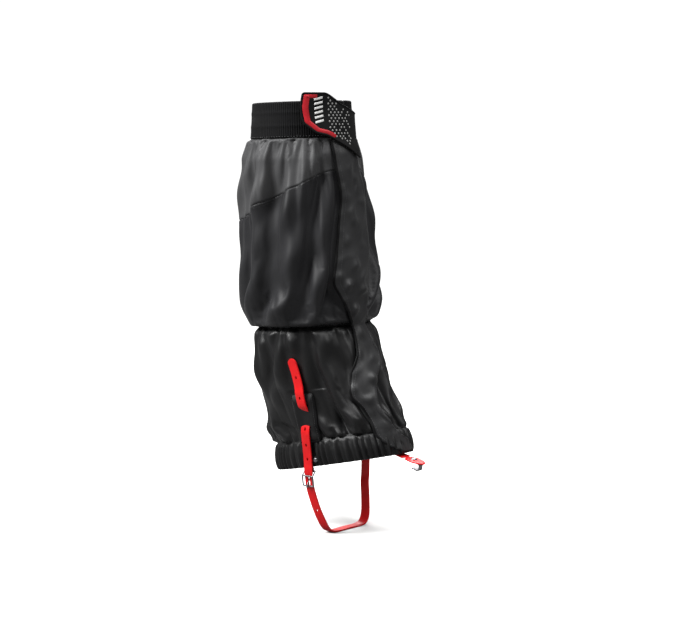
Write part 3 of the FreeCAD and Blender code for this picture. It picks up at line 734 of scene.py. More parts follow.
theta_grid, height_grid = cloth_grid(SIM_ROWS, SIM_COLUMNS)
start_grid = form(theta_grid, height_grid, sewn_folds(theta_grid, height_grid))
centre, length, width, tilt = section(height_grid)
rest_grid = form(theta_grid, height_grid, (SLACK_ROUND - 1) * (length + width) / 2)
rest_grid[..., 2] = (rest_grid[..., 2] - HEM_BASE) * SLACK_LONG + HEM_BASE
seams = (height_grid >= CUFF_BASE - 1e-6) | (np.abs(height_grid - ANKLE) < 1.2 * MM)
seams |= height_grid <= HEM_TOP + 0.5 * MM
settled_grid = settled(start_grid, rest_grid, seams)
moved = settled_grid - form(theta_grid, height_grid)
away = np.min([np.abs(height_grid - seam) for seam in (CUFF_BASE, ANKLE, HEM_TOP)], axis=0)
moved -= blurred(moved, 14, 22) * ramp_up(away / (26 * MM))[..., None]
theta_grid, height_grid = cloth_grid(ROWS, COLUMNS)
random = np.random.default_rng(7)
sewn = form(theta_grid, height_grid, 0.55 * sewn_folds(theta_grid, height_grid))
start_grid = sewn + FOLD_GAIN * refined(moved, ROWS, COLUMNS)
calm = (1 - 0.85 * under_flap(theta_grid, height_grid)) * (1 - 0.95 * under_strap(theta_grid, height_grid))
for seam in (CUFF_BASE, HEM_TOP):
    calm = calm * (1 - 0.9 * bell((height_grid - seam) / (2.2 * MM)))
smooth_grid = form(theta_grid, height_grid, -1.0 * MM * under_strap(theta_grid, height_grid))
cloth_points = smooth_grid + (start_grid - smooth_grid) * calm[..., None]


def grid_normals(points):
    """Outward unit normals of the wrapped grid, from central differences."""
    across = np.roll(points, -1, axis=1) - np.roll(points, 1, axis=1)
    down = np.gradient(points, axis=0)
    return unit(np.cross(across, -down))


cloth_normals = grid_normals(cloth_points)


def sample(field, theta, height):
    """Bilinear reading of a field on the cloth grid, wrapped round the leg."""
    u = (theta + math.pi) / TAU * COLUMNS
    v = np.clip((CUFF_BASE - height) / (CUFF_BASE - HEM_BASE) * (ROWS - 1), 0, ROWS - 1.001)
    i = np.floor(v).astype(int)
    j = np.floor(u).astype(int)
    fi = (v - i)[..., None]
    fj = (u - j)[..., None]
    j, after = j % COLUMNS, (j + 1) % COLUMNS
    top = field[i, j] * (1 - fj) + field[i, after] * fj
    low = field[i + 1, j] * (1 - fj) + field[i + 1, after] * fj
    return top * (1 - fi) + low * fi


def cloth(theta, height, out=0.0):
    """Point of the folded cloth, moved out along its normal."""
    lift = np.asarray(out)[..., None]
    return sample(cloth_points, theta, height) + sample(cloth_normals, theta, height) * lift


def form_normal(theta, height):
    """Outward unit normal of the smooth form, from small steps along theta and height."""
    around = form(theta + 0.005, height) - form(theta - 0.005, height)
    rise = form(theta, height + MM) - form(theta, height - MM)
    return unit(np.cross(around, rise))


def layer(theta, height, out):
    """Point of the smooth form moved out along its normal."""
    return form(theta, height) + form_normal(theta, height) * np.asarray(out)[..., None]


# ------------------------------------------------------------------ joining pieces to the frame
SLOTS = {part["node"]: part["material_slot"] for part in frame["record"]["subparts"]}


def finish_piece(obj, body, *nodes, slot=None):
    """A piece rides on a body and stands for CAD nodes, which it hides.

    The body is None for a piece that is left unattached.
    """
    if body:
        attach(obj, body)
    if nodes:
        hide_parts(*nodes)
    return obj


# ------------------------------------------------------------------ sleeve panels
CLOTH_THICK = 0.6 * MM


def seam_dip(away):
    """Groove of a sewn seam: the cloth dips 0.9 mm within about 1 mm of it."""
    return 0.9 * MM * bell(away / (1.1 * MM))


def panel(name, side, top, bottom, rows, material, node):
    """Panel between two seams, from the back seam to the front opening on one side."""
    columns = 240
    t, s = np.meshgrid(np.linspace(0, 1, rows), np.linspace(0, 1, columns), indexing="ij")
    back = side * math.pi
    theta = back + (0 - back) * s
    for _ in range(4):
        height = top(theta) * (1 - t) + bottom(theta) * t
        front = opening_theta(height) + (0.03 if side > 0 else 0)
        theta = back + (front - back) * s
    points = cloth(theta, height, -seam_dip(height - top(theta)) - seam_dip(height - bottom(theta)))
    obj = cloth_piece(name, points, material, CLOTH_THICK, outward=(0, side, 0))
    finish_piece(obj, "sleeve", node)
    return obj


def level(height):
    """Seam that keeps one height of the sleeve."""
    return lambda theta: height + 0 * theta


SIDES = {"lateral": -1, "medial": 1}
for word, side in SIDES.items():
    panel(f"yoke_{word}_cloth", side, level(CUFF_BASE), yoke_seam_height, 110, grey_nylon,
          f"yoke_panel_{word}")
    panel(f"main_{word}_cloth", side, yoke_seam_height, level(ANKLE), 180, black_nylon,
          f"main_panel_{word}")
    # The boot panels take the nylon made darker as painted shade.
    panel(f"boot_{word}_cloth", side, level(ANKLE), level(HEM_TOP), 140, boot_nylon_painted_shade,
          f"boot_panel_{word}")


# ------------------------------------------------------------------ gathered hem
def hem_band():
    """Band below the last seam: a puffed gathered strip whose lower edge rolls under.

    Down the band the height falls evenly and the cloth stands out as a half sine; past the
    lower edge the profile turns through a half circle and runs back up inside.
    """
    columns = 900
    v = np.concatenate([[-0.08, -0.04], np.linspace(0, 1, 26), 1 + np.linspace(0, 1, 11)[1:], [2.6, 3.2]])
    roll = 2.0 * MM
    drop = np.where(v <= 1, v * (HEM_TOP - HEM_BASE - roll), 0)
    turn = np.clip(v - 1, 0, 1) * math.pi
    height = HEM_TOP - drop - (v > 1) * (HEM_TOP - HEM_BASE - roll) - roll * np.sin(turn)
    height = height + np.clip(v - 2, 0, None) * 3 * MM
    stand = 2.6 * MM * np.sin(np.clip(v, 0, 1) * math.pi) ** 0.7 - roll * (1 - np.cos(turn))
    v, theta_step = np.meshgrid(v, np.linspace(0, 1, columns), indexing="ij")
    height = height[:, None] + 0 * v
    front = opening_theta(height)
    theta = front + 0.04 + theta_step * (TAU - 0.04)
    deep = 2.5 + 1.5 * ramp_up(v) - 1.2 * ramp_up(v - 1)
    ridges = (pleats(theta, 56, 1.6, 0.5) + pleats(theta, 90, 1.2, 0.4) * 0.4) * ramp_up(v / 0.16)
    calm_here = 1 - 0.7 * under_flap(theta, np.clip(height, HEM_BASE, HEM_TOP))
    strap_here = bell((theta - (TAU + strap_theta(height))) / 0.11) + bell((theta - 1.6) / 0.11)
    out = stand[:, None] * (1 - 0.8 * np.clip(strap_here, 0, 1)) + ridges * deep * MM * calm_here
    out = out - 1.2 * MM * np.clip(strap_here, 0, 1) - 2.2 * MM * (1 - calm_here)
    out = out - seam_dip(height - HEM_TOP) * (v < 0.5) - 1.6 * MM * np.clip(-v / 0.08, 0, 1)
    return layer(theta, height, out)


random = np.random.default_rng(21)
hem_points = hem_band()
# The hem takes the same nylon made darker as painted shade.
hem = cloth_piece("hem_gathered_band", hem_points, boot_nylon_painted_shade, CLOTH_THICK, outward=(-1, 0, 0))
finish_piece(hem, "sleeve", "hem_band")


# ------------------------------------------------------------------ ribbed cuff
CUFF_TOP = 507 * MM
RIBS = 139


def cuff_points():
    """Knitted tube: round ribs, strong at the top and base and faint in a band between.

    A rib lifts the knit by the absolute sine of half its turn; rows of stitches cross the
    ribs as a fine sine of the height, and the top edge turns in as a quarter circle.
    """
    rows, columns = 50, 834
    v, s = np.meshgrid(np.linspace(0, 1.05, rows), np.linspace(0, 1, columns), indexing="ij")
    height = CUFF_TOP - v * (CUFF_TOP - CUFF_BASE)
    theta = opening_theta(height) + 0.05 + s * (TAU - 0.05)
    rib = np.abs(np.sin(theta * RIBS / 2)) ** 1.3 - 0.6
    strength = 0.62 - 0.42 * bell((v - 0.47) / 0.15) + 0.05 * wander(theta, 6)
    waist = 0.7 * MM * (np.sin(v * math.pi) ** 2 * 0.6 + 0.5 * bell((v - 0.3) / 0.05)
                        + 0.5 * bell((v - 0.66) / 0.05))
    edge = 1.6 * MM * (1 - np.sqrt(np.clip(1 - np.clip(1 - v / 0.045, 0, 1) ** 2, 0, 1)))
    knit_rows = 0.05 * MM * np.sin(TAU * height / (1.9 * MM))
    out = waist + rib * strength * MM + knit_rows - edge - 1.2 * MM * bell((v - 1) / 0.03) - 0.6 * MM
    out = out - 1.4 * MM * np.clip((v - 1) / 0.05, 0, 1)
    return layer(theta, height, out)


cuff_grid = cuff_points()
cuff = cloth_piece("cuff_rib_knit", cuff_grid, rib_knit, 1.6 * MM, outward=(-1, 0, 0))
finish_piece(cuff, "sleeve", "ribbed_cuff")

seam_theta = np.linspace(-math.pi * 1.05, opening_theta(np.array(CUFF_BASE)) - 0.02, 400)
seam_height = np.full_like(seam_theta, CUFF_BASE + 2.2 * MM)
cuff_thread = stitches("cuff_base_stitches", layer(seam_theta, seam_height, 0.1 * MM + 0 * seam_theta),
                       form_normal(seam_theta, seam_height), 3.6 * MM, grey_thread, 0.9, 0.3, 0.35)
finish_piece(cuff_thread, "sleeve", slot="grey_nylon")
yoke_theta = np.linspace(-math.pi, -0.42, 500)
for index, drop in enumerate((1.8, 4.2)):
    line_height = yoke_seam_height(yoke_theta) - drop * MM
    row = stitches(f"yoke_seam_stitches_{index}", cloth(yoke_theta, line_height, 0.05 * MM + 0 * yoke_theta),
                   sample(cloth_normals, yoke_theta, line_height), 2.6 * MM, black_thread, 0.9, 0.22, 0.2)
    finish_piece(row, "sleeve", slot="black_nylon")


# ------------------------------------------------------------------ elastics inside the sleeve
def inner_ring(name, top, base, out, node):
    """Flat elastic ring just inside the cloth, cross-ribbed, open at the front."""
    t, s = np.meshgrid(np.linspace(0, 1, 12), np.linspace(0, 1, 500), indexing="ij")
    height = top + (base - top) * t
    theta = opening_theta(height) + 0.06 + s * (TAU - 0.1)
    ripple = 0.15 * MM * np.sin(theta * 160)
    obj = cloth_piece(name, layer(theta, height, out + ripple), elastic_webbing, 1.0 * MM, outward=(-1, 0, 0))
    finish_piece(obj, "sleeve", node)


inner_ring("ankle_elastic_ring", 248 * MM, 239 * MM, -9.5 * MM, "ankle_elastic")
inner_ring("hem_elastic_ring", 95 * MM, 84.5 * MM, -6.8 * MM, "hem_elastic")


# ------------------------------------------------------------------ front flap
FLAP_TOP = 462 * MM
FLAP_LOW = 104.5 * MM
FLAP_OUT = 2.6 * MM
FRONT_OUT = (0.3, -0.9, 0)


def flap_place(s, z):
    """theta and height of the flap's point at a share s from its free edge to its sewn edge."""
    y = edge_y(FREE_EDGE, z) * (1 - s) + edge_y(SEWN_EDGE, z) * s
    return front_place(y, z)


def flap_lift(s, z):
    """How far the flap stands off the sleeve: soft crumples, largest above the ankle.

    Slanted sines of y and z, squeezed by a bell of the height, are kept from going inwards.
    """
    y = edge_y(FREE_EDGE, z) * (1 - s) + edge_y(SEWN_EDGE, z) * s
    soft = 0.35 + 1.5 * bell((z - 283 * MM) / (34 * MM)) + 1.1 * bell((z - 180 * MM) / (32 * MM))
    soft = soft + 0.5 * bell((z - 400 * MM) / (40 * MM))
    wave = (np.sin(TAU * (y / (26 * MM) + z / (70 * MM)) + 0.7)
            + 0.8 * np.sin(TAU * (y / (19 * MM) - z / (43 * MM)) + 2.1)
            + 0.7 * np.sin(TAU * (z / (27 * MM) + y / (60 * MM)) + 4.0)
            + 0.5 * np.sin(TAU * (z / (16 * MM) - y / (34 * MM)) + 1.0))
    away = ramp_up((FLAP_TOP - z) / (30 * MM))
    edge = 1 - 0.55 * bell(s / 0.12) - 0.8 * bell((s - 1) / 0.16)
    lift = np.log1p(np.exp(1.6 * wave)) / 1.6
    ridge = 1.5 * bell((s - 0.42) / 0.2) * (0.5 + 0.5 * np.sin(TAU * z / (150 * MM)))
    return FLAP_OUT + (1.1 * lift * soft + ridge) * edge * away * MM


def flap_surface(s, z, extra=0.0):
    """Point on the flap's outer face."""
    theta, height = flap_place(s, z)
    return cloth(theta, height, flap_lift(s, z) + extra)


def bends_with_flap(obj):
    """Bake the piece's placement into its mesh."""
    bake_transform(obj)


z_grid, s_grid = np.meshgrid(np.linspace(FLAP_TOP, FLAP_LOW, 330), np.linspace(0.04, 1, 52), indexing="ij")
sewn_turn = 1.6 * MM * bell((s_grid - 1) / 0.04)
flap_grid = flap_surface(s_grid, z_grid, -sewn_turn)
flap = cloth_piece("front_flap_cloth", flap_grid, flap_cloth, CLOTH_THICK, outward=FRONT_OUT)
finish_piece(flap, None, "front_flap")
bends_with_flap(flap)

edge_z = np.linspace(FLAP_TOP, FLAP_LOW, 420)
edge_s = np.full_like(edge_z, 0.045)
edge_theta, edge_height = flap_place(edge_s, edge_z)
edge_out = sample(cloth_normals, edge_theta, edge_height)
edge_path = flap_surface(edge_s, edge_z, 0 * edge_z - 0.2 * MM)
# Near-black binding tape along the flap's free edge: a binding whose black also paints the shadow gap between
# the free edge and the sleeve.
binding = carried_bar("flap_edge_binding_painted_shadow", edge_path, edge_out, 1.5 * MM, 0.9 * MM, binding_tape, 0.6, 12)
finish_piece(binding, None, "flap_binding")
bends_with_flap(binding)

FLAP_STITCHING = (("flap_edge_stitches", 0.14, grey_thread), ("flap_fold_stitches", 0.90, black_thread))
for name, share, thread in FLAP_STITCHING:
    thread_z = np.linspace(FLAP_TOP - 3 * MM, FLAP_LOW + 3 * MM, 700)
    thread_s = np.full_like(thread_z, share)
    thread_theta, thread_height = flap_place(thread_s, thread_z)
    row = stitches(name, flap_surface(thread_s, thread_z, 0.05 * MM),
                   sample(cloth_normals, thread_theta, thread_height), 3.0 * MM, thread, 1.05, 0.22, 0.22)
    finish_piece(row, None, slot="flap_nylon")
    bends_with_flap(row)


def tape_strip(name, out, thickness, material, body, node):
    """Narrow fastening tape down the front, beside the opening, at a distance from the sleeve."""
    z, s = np.meshgrid(np.linspace(458, 122, 240) * MM, np.linspace(-1, 1, 9), indexing="ij")
    y = edge_y(OPENING, z) + (-5.8 + 3 * s) * MM
    theta, height = front_place(y, z)
    obj = cloth_piece(name, cloth(theta, height, out), material, thickness, outward=FRONT_OUT)
    finish_piece(obj, body, node)
    # A sheet is declared at least 10 mm wide; area gives the 6 mm tape's own.
    return obj


tape_strip("front_hook_tape", 0.8 * MM, 0.8 * MM, hook_tape, "sleeve", "front_hook_strip")
bends_with_flap(tape_strip("flap_loop_tape", 1.75 * MM, 0.6 * MM, loop_tape, None, "flap_loop_strip"))

# ------------------------------------------------------------------ closing tab
TAB_RIM = np.array([(23, 494), (17, 496), (-5, 505), (-19, 515), (-24, 518), (-45, 518), (-47, 500),
                    (-46, 482), (-36, 470), (-25, 467), (-14, 459), (0, 450), (17, 441)], float) * MM
TAB_OUT = 5.6 * MM
TAB_MIDDLE = np.array((-12, 481)) * MM
TAB_CORNER = 3.0 * MM


def rounded_line(corners, radius, step):
    """Even points along straight runs whose corners are cut by quadratic arcs of a reach."""
    pieces = [corners[:1]]
    f = np.linspace(0, 1, 9)[:, None]
    for before, corner, after in zip(corners, corners[1:], corners[2:]):
        reach = min(radius, 0.45 * np.linalg.norm(corner - before), 0.45 * np.linalg.norm(after - corner))
        first = corner + unit(before - corner) * reach
        last = corner + unit(after - corner) * reach
        pieces.append(first * (1 - f) ** 2 + corner * 2 * f * (1 - f) + last * f ** 2)
    pieces.append(corners[-1:])
    line = np.concatenate(pieces)
    length = running_length(line)
    places = np.linspace(0, length[-1], int(length[-1] / step) + 1)
    return np.stack([np.interp(places, length, line[:, k]) for k in (0, 1)], -1)


def inset_line(line, distance):
    """A flat line moved towards the tab's inside by a distance."""
    run = unit(np.gradient(line, axis=0))
    return line + np.stack([-run[:, 1], run[:, 0]], -1) * distance


def tab_surface(y, z, out=TAB_OUT):
    """Point on the tab's outer face, above a place (y, z) of the front."""
    theta, height = front_place(y, z)
    wave = 0.35 * MM * (1 + np.sin(TAU * (z - y) / (60 * MM)))
    return layer(theta, height, out + wave * ramp_up((z - 445 * MM) / (15 * MM)))


def tab_normal(y, z):
    """Outward normal of the tab at a place (y, z)."""
    theta, height = front_place(y, z)
    return form_normal(theta, height)


def bends_with_tab(obj):
    """Bake the piece's placement into its mesh."""
    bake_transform(obj)


tab_line = rounded_line(TAB_RIM, TAB_CORNER, 0.8 * MM)
sewn_side = np.linspace(TAB_RIM[-1], TAB_RIM[0], 68)[1:-1]
face_line = np.concatenate([inset_line(tab_line, 1.2 * MM), sewn_side])
share = np.linspace(0, 1, 34)[:, None, None] ** 0.8
face_yz = TAB_MIDDLE * (1 - share) + face_line[None] * share
face_yz[0] = TAB_MIDDLE + (face_line - TAB_MIDDLE) * 1e-3
tab_grid = tab_surface(face_yz[..., 0], face_yz[..., 1])
tab_faces = grid_faces(len(tab_grid), len(face_line), wrap=True)
if faces_inward(tab_grid[21, 10] - tab_grid[20, 10], tab_grid[20, 11] - tab_grid[20, 10], FRONT_OUT):
    tab_faces = tab_faces[:, ::-1]
tab_centre = np.arange(len(face_line))
tab_cap = [tab_centre.tolist()]
step, next_step = face_yz[0, 1] - face_yz[0, 0], face_yz[0, 2] - face_yz[0, 1]
if step[0] * next_step[1] - step[1] * next_step[0] < 0:
    tab_cap = [tab_centre[::-1].tolist()]
tab = link_mesh("closing_tab_face", tab_grid, tab_faces.tolist() + tab_cap, tab_coating, face_yz)
thicken(tab, 1.3 * MM)
finish_piece(tab, None, "closing_tab")
bends_with_tab(tab)

rim_line = inset_line(tab_line, 1.0 * MM)
rim_path = tab_surface(rim_line[:, 0], rim_line[:, 1], TAB_OUT - 0.5 * MM)
tab_rim = carried_bar("tab_edge_binding", rim_path, tab_normal(rim_line[:, 0], rim_line[:, 1]),
                      1.25 * MM, 1.1 * MM, binding_tape, 0.6, 12)
finish_piece(tab_rim, None, "tab_binding")
bends_with_tab(tab_rim)

STRIPE_FROM = 4.4
STRIPE_TO = 9.6
STRIPE_WIDE = 4.6 * MM


def stripe_points():
    """Red tape beside the tab's black edge, from its top corner to its lower one, slightly crowned."""
    corner_length = running_length(TAB_RIM)
    line_length = running_length(tab_line)
    scale = line_length[-1] / corner_length[-1]
    corners = np.arange(len(TAB_RIM))
    low, high = np.interp((STRIPE_FROM, STRIPE_TO), corners, corner_length) * scale
    keep = (line_length > low) & (line_length < high)
    across = np.linspace(0, 1, 9)
    rows = [inset_line(tab_line, 2.0 * MM + STRIPE_WIDE * a)[keep] for a in across]
    yz = np.stack(rows, 1)
    crown = 0.35 * MM * np.sin(across * math.pi) ** 0.6
    return tab_surface(yz[..., 0], yz[..., 1], TAB_OUT + 0.15 * MM + crown[None, :])


stripe = cloth_piece("tab_red_tape", stripe_points(), red_tape, 0.45 * MM, outward=FRONT_OUT)
finish_piece(stripe, "tab", "tab_stripe")


def printed_dots():
    """Staggered round dots, dense by the free end and thinning towards the sewn side.

    Rows are 3.5 mm apart and dots 4.7 mm apart in a row; every other row is shifted by half.
    """
    centres = []
    for row in range(18):
        z = 512 * MM - row * 3.5 * MM
        for column in range(12):
            y = (-21.5 + 4.7 * column + (2.35 if row % 2 else 0)) * MM
            top = np.interp(y / MM, [-24, -19, -5, 17], [514, 510.5, 500.5, 491.5]) * MM
            low = np.interp(y / MM, [-25, -14, 0, 17], [473, 465, 456, 447]) * MM
            if low < z < top and y < 9 * MM and (row * 5 + column * 3) % 7 > (y + 22 * MM) / (6.5 * MM) - 1.2:
                centres.append((y, z))
    centres = np.array(centres)
    places = tab_surface(centres[:, 0], centres[:, 1], TAB_OUT + 0.02 * MM)
    facing = tab_normal(centres[:, 0], centres[:, 1])
    up = np.broadcast_to(np.array((0, 0, 1.0)), facing.shape)
    return scattered_beads("tab_printed_dots", places, unit(up - facing * facing[:, 2:3]), facing,
                           1.15 * MM, 1.15 * MM, 0.22 * MM, pale_ink)


dots = printed_dots()
finish_piece(dots, "tab", slot="tab_face")


def printed_bars():
    """Column of short slanted bars beside the red tape, each a flat rounded slat."""
    bars = []
    for index in range(6):
        z = (511 - 5.4 * index) * MM
        t, s = np.meshgrid(np.linspace(-1, 1, 5), np.linspace(-1, 1, 9), indexing="ij")
        y = -31.5 * MM + s * 3.9 * MM
        height = z + 1.25 * MM * t + 1.3 * MM * s
        bars.append(tab_surface(y, height, TAB_OUT + 0.28 * MM))
    grid = np.array(bars)
    faces = grid_faces(5, 9)
    if faces_inward(grid[0, 1, 0] - grid[0, 0, 0], grid[0, 0, 1] - grid[0, 0, 0], FRONT_OUT):
        faces = faces[:, ::-1]
    faces = np.concatenate([faces + 45 * index for index in range(len(bars))])
    obj = link_mesh("tab_printed_bars", grid, faces, white_ink)
    thicken(obj, 0.3 * MM)
    return obj


finish_piece(printed_bars(), "tab", slot="tab_face")


def small_patch(name, corners, out, thickness, material, body, node):
    """Four-cornered fastening patch under the tab: a bilinear grid between its corners."""
    t, s = np.meshgrid(np.linspace(0, 1, 24), np.linspace(0, 1, 18), indexing="ij")
    upper_left, lower_left, lower_right, upper_right = np.array(corners, float) * MM
    yz = ((upper_left * (1 - s[..., None]) + upper_right * s[..., None]) * (1 - t[..., None])
          + (lower_left * (1 - s[..., None]) + lower_right * s[..., None]) * t[..., None])
    theta, height = front_place(yz[..., 0], yz[..., 1])
    obj = cloth_piece(name, layer(theta, height, out + 0 * t), material, thickness, outward=FRONT_OUT)
    finish_piece(obj, body, node)


CUFF_PATCH = [(-43, 500), (-43, 480), (-27, 474), (-27, 503)]
small_patch("cuff_loop_pile", CUFF_PATCH, 1.9 * MM, 1.2 * MM, loop_tape, "sleeve", "cuff_loop_patch")
small_patch("tab_hook_pile", CUFF_PATCH, 4.1 * MM, 1.6 * MM, hook_tape, "tab", "tab_hook_patch")

# ------------------------------------------------------------------ strap
STRAP_WIDE = 12 * MM
STRAP_THICK = 2.0 * MM
STRAP_STEP = 0.75 * MM
HOLE_LONG = 2.1 * MM
HOLE_WIDE = 1.25 * MM
STRAP_HOLES_Z = (187, 163, 126, 107, 90)
PRONG_HOLE_Z = 64
PRONG_HOLE_LONG = 7.7 * MM
PRONG_HOLE_WIDE = 1.45 * MM
INSTEP_HOLE_Z = 28


def strap_frame():
    """Middle line of the strap with its outward and sideways directions.

    The outward direction is the run turned a quarter in the plane across the leg.
    """
    line = even_path(STRAP_LINE, STRAP_STEP)
    run = run_direction(line)
    out = unit(np.stack([0 * run[:, 0], run[:, 2], -run[:, 1]], -1))
    side = unit(np.cross(out, run))
    out = unit(np.cross(run, side))
    return line, out, side


strap_line, strap_out, strap_side = strap_frame()
strap_length = running_length(strap_line)


def length_at(z):
    """Length along the strap at which its outer run passes a height z in millimetres."""
    outer = strap_line[:, 1] < 0
    return np.interp(-z * MM, -strap_line[outer, 2], strap_length[outer])


def strap_points():
    """Moulded strip: a grid of length by width whose two ends are half round, with oval holes."""
    across = np.linspace(-0.5, 0.5, 25) * STRAP_WIDE
    u, v = np.meshgrid(strap_length, across, indexing="ij")
    holes = [(length_at(z), 0, HOLE_LONG, HOLE_WIDE) for z in STRAP_HOLES_Z + (INSTEP_HOLE_Z,)]
    holes.append((length_at(PRONG_HOLE_Z), 0, PRONG_HOLE_LONG, PRONG_HOLE_WIDE))
    u, v, inside = open_holes(u, v, holes)
    near = np.clip(np.minimum(u, strap_length[-1] - u) / (STRAP_WIDE / 2), 0.0, 1)
    v = v * np.sqrt(np.clip(1 - (1 - near) ** 2, 0.004, 1))
    place = []
    for field in (strap_line, strap_out, strap_side):
        spread = np.stack([np.interp(u.ravel(), strap_length, field[:, k]) for k in range(3)], -1)
        place.append(spread.reshape(u.shape + (3,)))
    crown = 0.25 * MM * (1 - (v / (STRAP_WIDE / 2)) ** 2)
    return place[0] + place[2] * v[..., None] + place[1] * crown[..., None], u, v, inside


strap_grid, strap_u, strap_v, strap_inside = strap_points()
strap_faces = grid_faces(*strap_grid.shape[:2])[~strap_inside.ravel()]
if faces_inward(strap_grid[1, 12] - strap_grid[0, 12], strap_grid[0, 13] - strap_grid[0, 12], (0, -1, 0)):
    strap_faces = strap_faces[:, ::-1]
used, strap_faces = np.unique(strap_faces, return_inverse=True)
strap_faces = strap_faces.reshape(-1, 4)
strap = link_mesh("red_instep_strap", strap_grid.reshape(-1, 3)[used], strap_faces, red_strap_finish,
                  np.stack([strap_v, strap_u], -1).reshape(-1, 2)[used])
thicken(strap, STRAP_THICK - 0.3 * MM, offset=0)
strap_edge = strap.modifiers.new("rounded_edges", "BEVEL")
strap_edge.width = 0.35 * MM
strap_edge.segments = 2
strap_edge.limit_method = "ANGLE"
strap_edge.angle_limit = math.radians(50)
finish_piece(strap, None, "instep_strap", "strap_tail", "strap_medial_end")
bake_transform(strap)


# ------------------------------------------------------------------ patches that carry the strap
def strap_patch(name, outline, rise, thickness, side, slots, node):
    """Rubberised patch stood off the cloth in the middle and sunk to it along its rim.

    The grid is bilinear between four corners (x, z), squeezed to a rounded square, and the
    surface rises from its rim as a quarter sine over 5 mm.
    """
    rows, columns = 97, 49
    t, s = np.meshgrid(np.linspace(-1, 1, rows), np.linspace(-1, 1, columns), indexing="ij")
    t, s, inside = open_holes(t, s, slots)
    rim = 1 - np.clip(np.abs(t), 0, 1) ** 14 * np.clip(np.abs(s), 0, 1) ** 14 * 0.12
    s, t = s * rim, t * rim
    a, b, c, d = np.array(outline, float) * MM
    f, g = (s[..., None] + 1) / 2, (1 - t[..., None]) / 2
    xz = (a * (1 - f) + b * f) * g + (d * (1 - f) + c * f) * (1 - g)
    height = xz[..., 1]
    for _ in range(5):
        centre, length, width, tilt = section(height)
        theta = side * (math.pi / 2 - np.arcsin(np.clip((xz[..., 0] - centre) / length, -0.95, 0.95)))
        height = xz[..., 1] - length * np.cos(theta) * np.sin(tilt)
    edge = np.minimum(1 - np.abs(s), 1 - np.abs(t) * 0.999) * 16
    lift = 1.0 * MM + rise * np.sin(np.clip(edge / 5, 0, 1) * math.pi / 2)
    points = cloth(theta, height, lift)
    faces = grid_faces(rows, columns)[~inside.ravel()]
    if faces_inward(points[1, 5] - points[0, 5], points[0, 6] - points[0, 5], (0, side, 0)):
        faces = faces[:, ::-1]
    used, faces = np.unique(faces, return_inverse=True)
    obj = link_mesh(name, points.reshape(-1, 3)[used], faces.reshape(-1, 4), rubber_patch,
                    xz.reshape(-1, 2)[used])
    thicken(obj, thickness)
    finish_piece(obj, "sleeve", node)
    return obj, points


OUTER_PATCH = [(-32, 165), (-2, 170), (6, 112), (-26, 106)]
INNER_PATCH = [(-29, 128), (3, 130), (3, 96), (-29, 90)]
STRAP_SLOTS = [(-0.55, 0.02, 0.07, 0.48), (0.33, 0.02, 0.07, 0.48)]
outer_patch, outer_patch_grid = strap_patch("strap_patch_rubber", OUTER_PATCH, 3.6 * MM, 1.1 * MM, -1,
                                            STRAP_SLOTS, "strap_patch")
inner_patch, inner_patch_grid = strap_patch("medial_patch_rubber", INNER_PATCH, 0.8 * MM, 1.1 * MM, 1, [],
                                            "medial_strap_patch")


def patch_border(name, grid, body):
    """Row of stitches just inside a patch's rim."""
    rows, columns = grid.shape[:2]
    r, c = int(rows * 0.05), int(columns * 0.1)

    def round_rim(field):
        """The four sides of an inner rectangle of a grid, in order."""
        sides = [field[r, c:-c], field[r:-r, -c - 1], field[-r - 1, c:-c][::-1], field[r:-r, c][::-1]]
        return np.concatenate(sides)

    facing = unit(np.cross(np.gradient(grid, axis=0), np.gradient(grid, axis=1)))
    if facing[rows // 2, columns // 2, 1] * grid[0, 0, 1] < 0:
        facing = -facing
    row = stitches(name, round_rim(grid), round_rim(facing), 2.6 * MM, grey_thread, 0.85, 0.22, 0.25)
    finish_piece(row, body, slot="rubber_patch")


patch_border("strap_patch_stitches", outer_patch_grid, "sleeve")
patch_border("medial_patch_stitches", inner_patch_grid, "sleeve")


# ------------------------------------------------------------------ webbing loop of the buckle
def buckle_webbing():
    """Short webbing folded round the buckle's bar: down the outside, round the bar and up inside."""
    bar = np.array((-50.7, 76.0))
    turn = np.radians(np.linspace(180, 355, 15))
    bend = bar + 1.65 * np.stack([np.cos(turn), np.sin(turn)], -1)
    outer = np.array([(-52.9, 94), (-52.75, 88), (-52.4, 81)])
    inner = np.array([(-49.5, 79.5), (-51.0, 82), (-51.75, 88), (-51.9, 94)])
    profile = np.concatenate([outer, bend, inner]) * MM
    path = even_path(profile, 0.5 * MM)
    x = np.linspace(-18, -8, 21) * MM
    points = np.stack(np.broadcast_arrays(x[None, :], path[:, None, 0], path[:, None, 1]), -1)
    obj = cloth_piece("buckle_webbing_loop", points, binding_tape, 0.7 * MM, outward=(0, 1, 0))
    return obj


def buckle_ear():
    """Flat ear of the webbing loop, under the head of its rivet."""
    t, s = np.meshgrid(np.linspace(94, 85.2, 14), np.linspace(-17.5, 2, 30), indexing="ij")
    corner = np.hypot(np.clip(s + 1.5, 0, None), np.clip(np.abs(t - 89.6) - 1.2, 0, None))
    points = np.stack([s - 0.2 * corner, -53.1 + 0.02 * (90 - t), t], -1) * MM
    return cloth_piece("buckle_webbing_ear", points, binding_tape, 0.6 * MM, outward=(0, -1, 0))


finish_piece(buckle_webbing(), "sleeve", "buckle_loop")
finish_piece(buckle_ear(), "sleeve", slot=SLOTS["buckle_loop"])

# ------------------------------------------------------------------ lace hook leaf
LEAF_ROOT = np.array((96, -4, 98.5)) * MM
LEAF_SLOPE = math.radians(12)
LEAF_ALONG = np.array((math.cos(LEAF_SLOPE), 0, -math.sin(LEAF_SLOPE)))
LEAF_UP = np.array((math.sin(LEAF_SLOPE), 0, math.cos(LEAF_SLOPE)))


